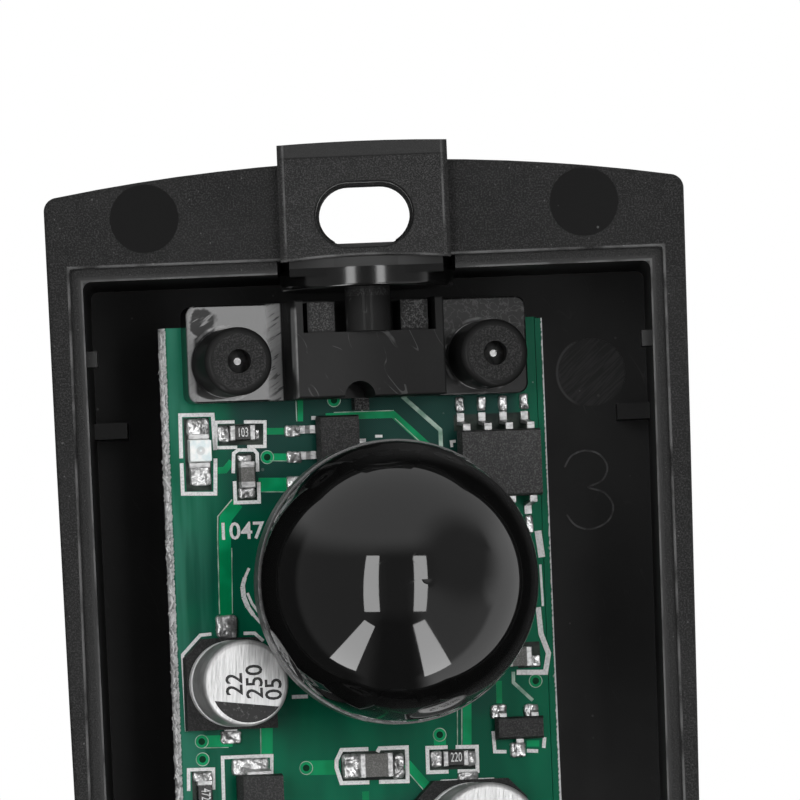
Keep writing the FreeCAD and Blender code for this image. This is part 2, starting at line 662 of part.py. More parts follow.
def boss_holes():
    """Screw holes from behind, and the narrower pilot that opens at each boss's front."""
    shapes = []
    for side in (1, -1):
        x = BOSS_SHIFT + side * BOSS_SPACING / 2
        bore_end = boss_front + PILOT_DEPTH
        shapes.append(rod_y(x, boss_height, bore_end, board_front + 1, SCREW_DIAMETER + 2 * SCREW_CLEARANCE))
        shapes.append(rod_y(x, boss_height, boss_front - 1, bore_end + 0.01, PILOT_DIAMETER))
    return shapes


def board_screw(x, z):
    """A pan-head screw with a cross recess, driven into a boss from behind the board."""
    shank_end = boss_front + PILOT_DEPTH + SCREW_CLEARANCE
    radius = SCREW_DIAMETER / 2
    head_back = board_back + SCREW_HEAD_HEIGHT
    edge = SCREW_HEAD_HEIGHT / 2
    profile = closed_lines((
        (0, shank_end - SCREW_TIP / 2),
        (SCREW_TIP_DIAMETER / 2, shank_end - SCREW_TIP / 2),
        (SCREW_TIP_DIAMETER, shank_end),
        (radius, shank_end + SCREW_TIP),
        (radius, board_back),
        (SCREW_HEAD_DIAMETER / 2, board_back),
        (SCREW_HEAD_DIAMETER / 2, board_back + edge),
        (SCREW_HEAD_DIAMETER / 2 - edge, head_back),
        (0, head_back),
    ))
    screw = spin(profile, x, z)
    recess_front = head_back - SCREW_RECESS_DEPTH
    half_width = SCREW_RECESS_WIDTH / 2
    half_length = SCREW_RECESS_LENGTH / 2
    beyond = head_back + 1
    across = block(x - half_length, x + half_length, recess_front, beyond, z - half_width, z + half_width)
    upright = block(x - half_width, x + half_width, recess_front, beyond, z - half_length, z + half_length)
    return screw.cut([across, upright]).removeSplitter()


def board_screws():
    """Four screws, two in each carrier."""
    screws = []
    for end in (1, -1):
        for side in (1, -1):
            screws.append(board_screw(BOSS_SHIFT + side * BOSS_SPACING / 2, end * boss_height))
    return screws


def circuit_board():
    """The board, with its snapped score lines down both long edges, and its drilled holes."""
    half = BOARD_WIDTH / 2
    end = board_length / 2
    inner = half - BOARD_SCORE_RUN
    outline = (
        (-inner, board_front), (inner, board_front), (half, board_front + BOARD_SCORE_DEPTH),
        (half, board_back - BOARD_SCORE_DEPTH), (inner, board_back), (-inner, board_back),
        (-half, board_back - BOARD_SCORE_DEPTH), (-half, board_front + BOARD_SCORE_DEPTH),
    )
    corners = [vec(x, y, -end) for x, y in outline]
    face = Part.Face(Part.makePolygon(corners + corners[:1]))
    board = face.extrude(vec(0, 0, board_length))
    drills = []
    for z_end in (1, -1):
        for side in (1, -1):
            drills.append((BOSS_SHIFT + side * BOSS_SPACING / 2, z_end * boss_height,
                           SCREW_DIAMETER + 2 * SCREW_HOLE_CLEARANCE))
    for x in (-LEAD_PITCH / 2, LEAD_PITCH / 2):
        drills.append((x, lens_height, LEAD_HOLE_DIAMETER))
    for z in holder_peg_heights():
        drills.append((0, z, HOLDER_PEG_DIAMETER + 2 * HOLDER_PEG_CLEARANCE))
    for z in terminal_heights():
        drills.append((TERMINAL_AT[0], z, LEAD_HOLE_DIAMETER))
    holes = [rod_y(x, z, board_front - 1, board_back + 1, diameter) for x, z, diameter in drills]
    return board.cut(holes).removeSplitter()


# Lens group
def holder_peg_heights():
    """The two locating pegs under the holder's foot."""
    offset = (HOLDER_FOOT_DIAMETER - HOLDER_WALL) / 2
    return (lens_height - offset, lens_height + offset)


def lens_holder():
    """A funnel that stands on the board and opens towards the lens."""
    foot = HOLDER_FOOT_DIAMETER / 2
    top = HOLDER_TOP_DIAMETER / 2
    foot_end = board_front - HOLDER_FOOT_HEIGHT
    rim_start = lens_back + HOLDER_RIM_HEIGHT
    profile = closed_lines((
        (foot - HOLDER_WALL, board_front),
        (foot, board_front),
        (foot, foot_end),
        (top, rim_start),
        (top, lens_back),
        (top - HOLDER_WALL, lens_back),
        (top - HOLDER_WALL, rim_start),
        (foot - HOLDER_WALL, foot_end),
    ))
    holder = spin(profile, 0, lens_height)
    pegs = [rod_y(0, z, board_front - OVERLAP, board_back, HOLDER_PEG_DIAMETER) for z in holder_peg_heights()]
    return joined(holder, pegs)


def lens():
    """The domed lens on its short straight skirt, which stands out as a narrow rim around the dome."""
    skirt = LENS_DIAMETER / 2
    dome = LENS_DOME_DIAMETER / 2
    crown_y = lens_rim - LENS_RISE
    sphere = (dome * dome + LENS_RISE * LENS_RISE) / (2 * LENS_RISE)
    mid = dome / 2
    mid_y = crown_y + sphere - math.sqrt(sphere * sphere - mid * mid)
    centre_back = vec(0, lens_back, 0)
    edge_back = vec(skirt, lens_back, 0)
    edge_rim = vec(skirt, lens_rim, 0)
    dome_foot = vec(dome, lens_rim, 0)
    apex = vec(0, crown_y, 0)
    profile = [
        Part.makeLine(centre_back, edge_back),
        Part.makeLine(edge_back, edge_rim),
        Part.makeLine(edge_rim, dome_foot),
        Part.Arc(dome_foot, vec(mid, mid_y, 0), apex).toShape(),
        Part.makeLine(apex, centre_back),
    ]
    return spin(profile, 0, lens_height)


def ir_emitter():
    """A small round emitter with a domed end."""
    base = board_front - EMITTER_STANDOFF
    radius = EMITTER_DIAMETER / 2
    shoulder = base - EMITTER_HEIGHT + radius
    flange = rod_y(0, lens_height, base - EMITTER_FLANGE_HEIGHT, base, EMITTER_FLANGE_DIAMETER)
    barrel = rod_y(0, lens_height, shoulder, base - OVERLAP, EMITTER_DIAMETER)
    dome = Part.makeSphere(radius, vec(0, shoulder, lens_height))
    return joined(flange, [barrel, dome])


def emitter_leads():
    """The emitter's two leads, soldered through the board."""
    half = LEAD_THICKNESS / 2
    leads = []
    for x in (-LEAD_PITCH / 2, LEAD_PITCH / 2):
        leads.append(block(x - half, x + half, board_front - EMITTER_STANDOFF, board_back + LEAD_TAIL,
                           lens_height - half, lens_height + half))
    return leads


# Board parts
def on_board(length_x, length_z, height, at, lift=0.0):
    """A box that stands on the board's front face."""
    x, z = at
    return block(x - length_x / 2, x + length_x / 2, board_front - lift - height, board_front - lift,
                 z - length_z / 2, z + length_z / 2)


def chip_pieces(at, standing, length, width, height, cap):
    """A chip part's body and its two end caps, lying crosswise or standing upright on the board."""
    x, z = at
    offset = (length - cap) / 2
    body_size = (width, length - 2 * cap) if standing else (length - 2 * cap, width)
    cap_size = (width, cap) if standing else (cap, width)
    body = on_board(body_size[0], body_size[1], height, at)
    caps = []
    for side in (1, -1):
        centre = (x, z + side * offset) if standing else (x + side * offset, z)
        caps.append(on_board(cap_size[0], cap_size[1], height, centre))
    return body, caps


def chip_parts():
    """All chip resistors and capacitors, as their bodies and end caps."""
    resistors = []
    capacitors = []
    caps = []
    small = (CHIP_LENGTH, CHIP_WIDTH)
    for group, places, standing, height in (
        (resistors, LYING_RESISTORS, False, RESISTOR_HEIGHT),
        (resistors, STANDING_RESISTORS, True, RESISTOR_HEIGHT),
        (capacitors, STANDING_CAPACITORS, True, CHIP_CAPACITOR_HEIGHT),
    ):
        for at in places:
            body, ends = chip_pieces(at, standing, small[0], small[1], height, CHIP_END_CAP)
            group.append(body)
            caps.extend(ends)
    body, ends = chip_pieces(LARGE_CHIP_AT, False, LARGE_CHIP_LENGTH, LARGE_CHIP_WIDTH,
                             LARGE_CHIP_HEIGHT, LARGE_CHIP_END_CAP)
    capacitors.append(body)
    caps.extend(ends)
    return resistors, capacitors, caps


def indicator():
    """The indicator's white base with its end caps, and the clear window on it."""
    base, caps = chip_pieces(INDICATOR_AT, True, CHIP_LENGTH, CHIP_WIDTH, INDICATOR_BASE_HEIGHT, CHIP_END_CAP)
    window = on_board(CHIP_WIDTH, INDICATOR_WINDOW_LENGTH, INDICATOR_WINDOW_HEIGHT, INDICATOR_AT,
                      INDICATOR_BASE_HEIGHT)
    return base, caps, window


def moulded_package(at, length_x, length_z, height, standoff=PACKAGE_STANDOFF):
    """A moulded package whose four sides slope away from its parting line."""
    x, z = at
    low = board_front - standoff
    sections = []
    for y, inset in ((low, PACKAGE_DRAFT), (low - height / 2, 0.0), (low - height, PACKAGE_DRAFT)):
        half_x = length_x / 2 - inset
        half_z = length_z / 2 - inset
        corners = [vec(x - half_x, y, z - half_z), vec(x + half_x, y, z - half_z),
                   vec(x + half_x, y, z + half_z), vec(x - half_x, y, z + half_z)]
        sections.append(Part.makePolygon(corners + corners[:1]))
    return Part.makeLoft(sections, True, True)


def bent_lead(at, direction, width, reach, body_height, standoff=PACKAGE_STANDOFF):
    """A lead that leaves the package at its parting line, bends down and ends in a foot on the board.

    direction is where it points, as (x, z).
    """
    top = board_front - standoff - body_height / 2
    knee = reach * LEAD_KNEE
    outline = (
        (0, top - LEAD_SHEET / 2), (knee, top - LEAD_SHEET / 2),
        (knee + LEAD_SHEET, board_front - LEAD_SHEET),
        (reach, board_front - LEAD_SHEET), (reach, board_front), (knee, board_front),
        (knee - LEAD_SHEET / 2, top + LEAD_SHEET / 2), (0, top + LEAD_SHEET / 2),
    )
    corners = [vec(u, y, -width / 2) for u, y in outline]
    lead = Part.Face(Part.makePolygon(corners + corners[:1])).extrude(vec(0, 0, width))
    lead.rotate(vec(0, 0, 0), vec(0, -1, 0), math.degrees(math.atan2(direction[1], direction[0])))
    lead.translate(vec(at[0], 0, at[1]))
    return lead


def amplifier_leads():
    """Four leads on the package's upper side and four on its lower side."""
    leads = []
    for index in range(4):
        x = AMPLIFIER_AT[0] + (index - 1.5) * AMPLIFIER_LEAD_PITCH
        for side in (1, -1):
            at = (x, AMPLIFIER_AT[1] + side * AMPLIFIER_WIDTH / 2)
            leads.append(bent_lead(at, (0, side), AMPLIFIER_LEAD_WIDTH, AMPLIFIER_LEAD_REACH,
                                   AMPLIFIER_HEIGHT, AMPLIFIER_STANDOFF))
    return leads


def regulator_leads():
    """Three leads on the left, and the tab on the right, which lies on the board."""
    side = REGULATOR_AT[0] - REGULATOR_WIDTH / 2
    leads = []
    for index in (-1, 0, 1):
        at = (side, REGULATOR_AT[1] + index * REGULATOR_LEAD_PITCH)
        leads.append(bent_lead(at, (-1, 0), REGULATOR_LEAD_WIDTH, REGULATOR_LEAD_REACH, REGULATOR_HEIGHT / 2))
    tab_at = (REGULATOR_AT[0] + (REGULATOR_WIDTH + REGULATOR_TAB_REACH) / 2, REGULATOR_AT[1])
    leads.append(on_board(REGULATOR_TAB_REACH, REGULATOR_TAB_WIDTH, LEAD_SHEET * 2, tab_at))
    return leads


def transistor_leads():
    """Two leads above and one below."""
    top = TRANSISTOR_AT[1] + TRANSISTOR_WIDTH / 2
    low = TRANSISTOR_AT[1] - TRANSISTOR_WIDTH / 2
    half_pitch = TRANSISTOR_LEAD_PITCH / 2
    places = (
        ((TRANSISTOR_AT[0] - half_pitch, top), (0, 1)),
        ((TRANSISTOR_AT[0] + half_pitch, top), (0, 1)),
        ((TRANSISTOR_AT[0], low), (0, -1)),
    )
    return [bent_lead(at, direction, TRANSISTOR_LEAD_WIDTH, TRANSISTOR_LEAD_REACH, TRANSISTOR_HEIGHT)
            for at, direction in places]


def diode_leads():
    """A wide lead at each end of the diode."""
    leads = []
    for side in (1, -1):
        at = (DIODE_AT[0], DIODE_AT[1] + side * DIODE_LENGTH / 2)
        leads.append(bent_lead(at, (0, side), DIODE_LEAD_WIDTH, DIODE_LEAD_REACH, DIODE_HEIGHT))
    return leads


def can_base(at, side):
    """The square base under a capacitor can, with its two upper corners cut off."""
    x, z = at
    half = side / 2
    cut = CAN_BASE_CORNER
    outline = ((x - half, z - half), (x + half, z - half), (x + half, z + half - cut),
               (x + half - cut, z + half), (x - half + cut, z + half), (x - half, z + half - cut))
    return polygon_prism(outline, board_front - CAN_BASE_HEIGHT, board_front)


def can(at, diameter):
    """An aluminium can with a crimped neck above its base and a rounded top edge."""
    x, z = at
    radius = diameter / 2
    low = board_front - CAN_BASE_HEIGHT
    neck = low - CAN_NECK_HEIGHT
    top = board_front - CAN_TOP_ABOVE_BOARD
    profile = closed_lines((
        (0, low), (radius, low), (radius, neck + CAN_NECK_DEPTH), (radius - CAN_NECK_DEPTH, neck),
        (radius, neck - CAN_NECK_DEPTH), (radius, top), (0, top),
    ))
    solid = spin(profile, x, z)
    return solid.makeFillet(CAN_TOP_ROUND, edges_at_y(solid, top))


def can_terminals(at, side):
    """The two flat terminals that leave a can's base above and below."""
    x, z = at
    strips = []
    for direction in (1, -1):
        centre = (x, z + direction * (side + CAN_TERMINAL_REACH) / 2)
        strips.append(on_board(CAN_TERMINAL_WIDTH, CAN_TERMINAL_REACH, LEAD_SHEET, centre))
    return strips


# Terminal block
def terminal_heights():
    """Heights of the poles on the board."""
    middle = (TERMINAL_POLES - 1) / 2
    return [TERMINAL_AT[1] + (index - middle) * TERMINAL_PITCH for index in range(TERMINAL_POLES)]


clamp_width = TERMINAL_ENTRY_WIDTH
clamp_floor = board_front - TERMINAL_ENTRY_FLOOR
clamp_top = clamp_floor - TERMINAL_ENTRY_HEIGHT - CLAMP_WALL
head_front = board_front - TERMINAL_HEIGHT + CLAMP_HEAD_BELOW_TOP
head_back = head_front + CLAMP_HEAD_HEIGHT


def terminal_block():
    """The block's body, with a screw well and a wire entry for each pole."""
    left = TERMINAL_AT[0] - TERMINAL_DEPTH / 2
    right = TERMINAL_AT[0] + TERMINAL_DEPTH / 2
    front = board_front - TERMINAL_HEIGHT
    low = TERMINAL_AT[1] - terminal_length / 2
    outline = (
        (left, board_front), (right, board_front), (right, board_front - TERMINAL_SHOULDER),
        (right - TERMINAL_SLOPE, front), (left + TERMINAL_SLOPE, front),
        (left, board_front - TERMINAL_SHOULDER),
    )
    corners = [vec(x, y, low) for x, y in outline]
    body = Part.Face(Part.makePolygon(corners + corners[:1])).extrude(vec(0, 0, terminal_length))
    cuts = []
    half = clamp_width / 2 + CLAMP_CLEARANCE
    clamp_right = TERMINAL_AT[0] + CLAMP_DEPTH / 2 + CLAMP_CLEARANCE
    for z in terminal_heights():
        cuts.append(rod_y(TERMINAL_AT[0], z, front - 1, clamp_top, TERMINAL_WELL_DIAMETER))
        cuts.append(block(left - 1, clamp_right, clamp_top - CLAMP_CLEARANCE, clamp_floor,
                          z - half, z + half))
        cuts.append(rod_y(TERMINAL_AT[0], z, clamp_floor - 0.01, board_front + 1, LEAD_HOLE_DIAMETER))
    return body.cut(cuts).removeSplitter()


def terminal_clamps():
    """A metal cage for each pole, open to the wire, with a threaded roof."""
    cages = []
    half = clamp_width / 2
    back = TERMINAL_AT[0] + CLAMP_DEPTH / 2
    front = TERMINAL_AT[0] - CLAMP_DEPTH / 2
    for z in terminal_heights():
        cage = block(front, back, clamp_top, clamp_floor, z - half, z + half)
        way = block(front - 1, back + 1, clamp_top + CLAMP_WALL, clamp_floor - CLAMP_WALL,
                    z - half + CLAMP_WALL, z + half - CLAMP_WALL)
        thread = rod_y(TERMINAL_AT[0], z, clamp_top - 1, clamp_top + 2 * CLAMP_WALL,
                       CLAMP_SCREW_DIAMETER + 2 * CLAMP_CLEARANCE)
        cages.append(cage.cut([way, thread]).removeSplitter())
    return cages


def terminal_screws():
    """A slotted screw in each well."""
    screws = []
    x = TERMINAL_AT[0]
    for z in terminal_heights():
        head = rod_y(x, z, head_front, head_back, CLAMP_HEAD_DIAMETER)
        shank = rod_y(x, z, head_back - OVERLAP, clamp_top + 2 * CLAMP_WALL, CLAMP_SCREW_DIAMETER)
        slot = block(x - CLAMP_HEAD_DIAMETER, x + CLAMP_HEAD_DIAMETER, head_front - 1,
                     head_front + CLAMP_SLOT_DEPTH, z - CLAMP_SLOT_WIDTH / 2, z + CLAMP_SLOT_WIDTH / 2)
        screws.append(head.fuse(shank).cut(slot).removeSplitter())
    return screws


def terminal_pins():
    """The solder pin under each clamp."""
    half = LEAD_THICKNESS / 2
    x = TERMINAL_AT[0]
    return [block(x - half, x + half, clamp_floor, board_back + LEAD_TAIL, z - half, z + half)
            for z in terminal_heights()]


def head_nodes():
    """Every node that turns with the head, in the head's own frame."""
    resistors, capacitors, caps = chip_parts()
    led_base, led_caps, led_window = indicator()
    carrier = upper_carrier()
    return {
        "upper_carrier": [carrier],
        "lower_carrier": [mirrored(carrier)],
        "circuit_board": [circuit_board()],
        "board_screws": board_screws(),
        "lens_holder": [lens_holder()],
        "lens": [lens()],
        "ir_emitter": [ir_emitter()],
        "emitter_leads": emitter_leads(),
        "indicator_base": [led_base],
        "indicator_window": [led_window],
        "amplifier_chip": [moulded_package(AMPLIFIER_AT, AMPLIFIER_LENGTH, AMPLIFIER_WIDTH, AMPLIFIER_HEIGHT,
                                           AMPLIFIER_STANDOFF)],
        "amplifier_leads": amplifier_leads(),
        "voltage_regulator": [moulded_package(REGULATOR_AT, REGULATOR_WIDTH, REGULATOR_LENGTH,
                                              REGULATOR_HEIGHT)],
        "regulator_leads": regulator_leads(),
        "transistor": [moulded_package(TRANSISTOR_AT, TRANSISTOR_LENGTH, TRANSISTOR_WIDTH,
                                       TRANSISTOR_HEIGHT)],
        "transistor_leads": transistor_leads(),
        "protection_diode": [moulded_package(DIODE_AT, DIODE_WIDTH, DIODE_LENGTH, DIODE_HEIGHT)],
        "diode_leads": diode_leads(),
        "small_capacitor_base": [can_base(SMALL_CAPACITOR_AT, SMALL_BASE_SIDE)],
        "small_capacitor_can": [can(SMALL_CAPACITOR_AT, SMALL_CAN_DIAMETER)],
        "large_capacitor_base": [can_base(LARGE_CAPACITOR_AT, LARGE_BASE_SIDE)],
        "large_capacitor_can": [can(LARGE_CAPACITOR_AT, LARGE_CAN_DIAMETER)],
        "capacitor_terminals": can_terminals(SMALL_CAPACITOR_AT, SMALL_BASE_SIDE)
        + can_terminals(LARGE_CAPACITOR_AT, LARGE_BASE_SIDE),
        "chip_resistors": resistors,
        "chip_capacitors": capacitors,
        "chip_end_caps": caps + led_caps,
        "terminal_block": [terminal_block()],
        "terminal_clamps": terminal_clamps(),
        "terminal_screws": terminal_screws(),
        "terminal_pins": terminal_pins(),
    }


def main():
    """Build every node and write it to its own file."""
    bracket = bearing_bracket()
    nodes = {
        "rear_housing": rear_housing(),
        "top_bearing_bracket": bracket,
        "bottom_bearing_bracket": mirrored(bracket),
    }
    for name, shapes in head_nodes().items():
        nodes[name] = in_head(shapes)
    os.makedirs("parts", exist_ok=True)
    for name, shape in nodes.items():
        solids = len(shape.Solids)
        print(name, "solids", solids, "volume", round(shape.Volume, 2), "valid", shape.isValid())
        shape.exportStep("parts/" + name + ".step")


main()
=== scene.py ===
"""Dressed model of an opened infrared sensor.

A black flanged tub holds a head that swivels between two bearing brackets. The head carries a green
board with its parts, and a black domed lens on a funnel-shaped holder.
"""

import logging
import math
import random
from dataclasses import dataclass
from enum import Enum
from typing import Callable, Sequence

import bmesh
import bpy
from mathutils import Matrix, Vector


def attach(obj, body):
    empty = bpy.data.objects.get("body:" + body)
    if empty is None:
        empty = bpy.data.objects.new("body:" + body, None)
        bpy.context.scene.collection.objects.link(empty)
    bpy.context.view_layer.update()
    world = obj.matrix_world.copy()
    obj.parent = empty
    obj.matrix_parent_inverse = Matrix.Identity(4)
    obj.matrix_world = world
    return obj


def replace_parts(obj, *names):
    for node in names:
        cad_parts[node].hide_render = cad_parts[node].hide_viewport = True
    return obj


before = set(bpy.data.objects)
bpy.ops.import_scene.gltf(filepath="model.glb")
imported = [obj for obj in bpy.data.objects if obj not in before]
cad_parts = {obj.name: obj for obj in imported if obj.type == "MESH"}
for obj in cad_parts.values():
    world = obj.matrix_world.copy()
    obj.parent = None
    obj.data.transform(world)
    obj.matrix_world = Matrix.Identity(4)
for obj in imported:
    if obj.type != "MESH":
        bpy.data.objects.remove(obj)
log = logging.getLogger("sensor")

MM = 0.001
HEAD_TURN = math.radians(12.0)
HEAD_DEPTH = 1.5 * MM
BOARD_DEPTH = 5.0
CAN_TOP = 5.4
CHIP_TOP = 0.45
CHIP_ROUNDING = 0.05
RING_SIDES = 28
SEGMENT_STEPS = 24
FONT_RATIO = 1.38
HOUSING_BODY = "housing"
HEAD_BODY = "sensor_head"

Point2 = tuple[float, float]
Point3 = tuple[float, float, float]
Colour = tuple[float, float, float, float]
# a width and the bent line that has it
Stripe = tuple[float, Sequence[Point2]]

WHITE: Colour = (1.0, 1.0, 1.0, 1.0)


def grey(level: float) -> Colour:
    """A neutral colour from a display level between 0 and 1."""
    return rgb(level, level, level)


def rgb(red: float, green: float, blue: float) -> Colour:
    """A linear colour from display levels.

    Args:
        red: Red level between 0 and 1, as shown on screen.
        green: Green level.
        blue: Blue level.

    Returns:
        The linear colour with full alpha.
    """
    def linear(level: float) -> float:
        """One channel from display to linear."""
        return level / 12.92 if level <= 0.04045 else ((level + 0.055) / 1.055) ** 2.4
    return (linear(red), linear(green), linear(blue), 1.0)


class Graph:
    """A node tree that is being wired.

    Args:
        tree: The tree that gets the nodes.
    """

    def __init__(self, tree: bpy.types.NodeTree) -> None:
        """Keep the tree and start laying nodes out in columns."""
        self.tree = tree
        self.count = 0

    def node(self, kind: str, inputs: dict | None = None, **settings: object) -> bpy.types.Node:
        """Add a node.

        Args:
            kind: Node type.
            inputs: Values or sockets by input name or index.
            settings: Properties of the node.

        Returns:
            The new node.
        """
        made = self.tree.nodes.new(kind)
        made.location = ((self.count % 12) * 190, -(self.count // 12) * 240)
        self.count += 1
        for name, value in settings.items():
            setattr(made, name, value)
        for key, value in (inputs or {}).items():
            self.feed(made.inputs[key], value)
        return made

    def feed(self, socket: bpy.types.NodeSocket, value: object) -> None:
        """Link a socket to an input, or set the input's own value.

        Args:
            socket: The input.
            value: A socket or a plain value.
        """
        if isinstance(value, bpy.types.NodeSocket):
            self.tree.links.new(value, socket)
        else:
            socket.default_value = value

    def math(self, operation: str, a: object, b: object = 0.0) -> bpy.types.NodeSocket:
        """One step of arithmetic.

        Args:
            operation: The Math node's operation.
            a: First value or socket.
            b: Second value or socket, where the operation takes one.

        Returns:
            The result.
        """
        made = self.node("ShaderNodeMath", operation=operation)
        self.feed(made.inputs[0], a)
        self.feed(made.inputs[1], b)
        return made.outputs[0]

    def chain(self, operation: str, values: Sequence[object]) -> bpy.types.NodeSocket:
        """One operation over several values, from the first to the last.

        Args:
            operation: The Math node's operation.
            values: Values or sockets, of which the first or second is a socket.

        Returns:
            The result.
        """
        result = values[0]
        for value in values[1:]:
            result = self.math(operation, result, value)
        return result

    def add(self, a: object, b: object) -> bpy.types.NodeSocket:
        """Sum of two values."""
        return self.math("ADD", a, b)

    def minus(self, a: object, b: object) -> bpy.types.NodeSocket:
        """The first value less the second."""
        return self.math("SUBTRACT", a, b)

    def absolute(self, value: object) -> bpy.types.NodeSocket:
        """A value without its sign."""
        return self.math("ABSOLUTE", value)

    def times(self, *values: object) -> bpy.types.NodeSocket:
        """Product of the values."""
        return self.chain("MULTIPLY", values)

    def most(self, *values: object) -> bpy.types.NodeSocket:
        """Largest of the values."""
        return self.chain("MAXIMUM", values)

    def distance(self, a: object, b: object) -> bpy.types.NodeSocket:
        """Length of a vector given by two coordinates."""
        return self.math("SQRT", self.add(self.times(a, a), self.times(b, b)))

    def step(self, value: object, start: float, end: float) -> bpy.types.NodeSocket:
        """Ease from 0 to 1 over a range.

        Args:
            value: The value that is looked at.
            start: Where the result is 0.
            end: Where it is 1. It may be smaller than start.

        Returns:
            The eased value.
        """
        made = self.node("ShaderNodeMapRange", interpolation_type="SMOOTHSTEP")
        self.feed(made.inputs["Value"], value)
        made.inputs["From Min"].default_value = min(start, end)
        made.inputs["From Max"].default_value = max(start, end)
        made.inputs["To Min"].default_value = 0.0 if start < end else 1.0
        made.inputs["To Max"].default_value = 1.0 if start < end else 0.0
        return made.outputs["Result"]

    def near(self, value: object, centre: float, reach: float) -> bpy.types.NodeSocket:
        """1 where a value is at the centre, easing to 0 at a distance of reach."""
        return self.step(self.absolute(self.minus(value, centre)), reach, reach * 0.35)

    def mix(self, factor: object, a: object, b: object) -> bpy.types.NodeSocket:
        """Blend of two colours.

        Args:
            factor: Share of the second colour.
            a: First colour.
            b: Second colour.

        Returns:
            The colour.
        """
        made = self.node("ShaderNodeMix", {0: factor}, data_type="RGBA")
        self.feed(made.inputs[6], a)
        self.feed(made.inputs[7], b)
        return made.outputs[2]

    def mixed(self, factor: object, a: object, b: object) -> bpy.types.NodeSocket:
        """Blend of two values."""
        return self.node("ShaderNodeMix", {0: factor, 2: a, 3: b}, data_type="FLOAT").outputs[0]

    def stretch(self, vector: object, scale: Point3, turn: float = 0.0) -> bpy.types.NodeSocket:
        """Turn a vector about y and then scale it."""
        turned = self.node("ShaderNodeMapping", {"Vector": vector, "Rotation": (0.0, turn, 0.0)})
        return self.node("ShaderNodeMapping", {"Vector": turned.outputs[0], "Scale": scale}).outputs[0]

    def noise(self, vector: object, scale: float, detail: float = 2.0,
              rough: float = 0.5) -> bpy.types.NodeSocket:
        """Smooth noise between 0 and 1.

        Args:
            vector: Where it is read.
            scale: How fine it is.
            detail: How many finer layers it has.
            rough: How strong these are.

        Returns:
            The noise.
        """
        made = self.node("ShaderNodeTexNoise", {"Vector": vector, "Scale": scale, "Detail": detail,
                                                "Roughness": rough})
        return made.outputs["Fac"]


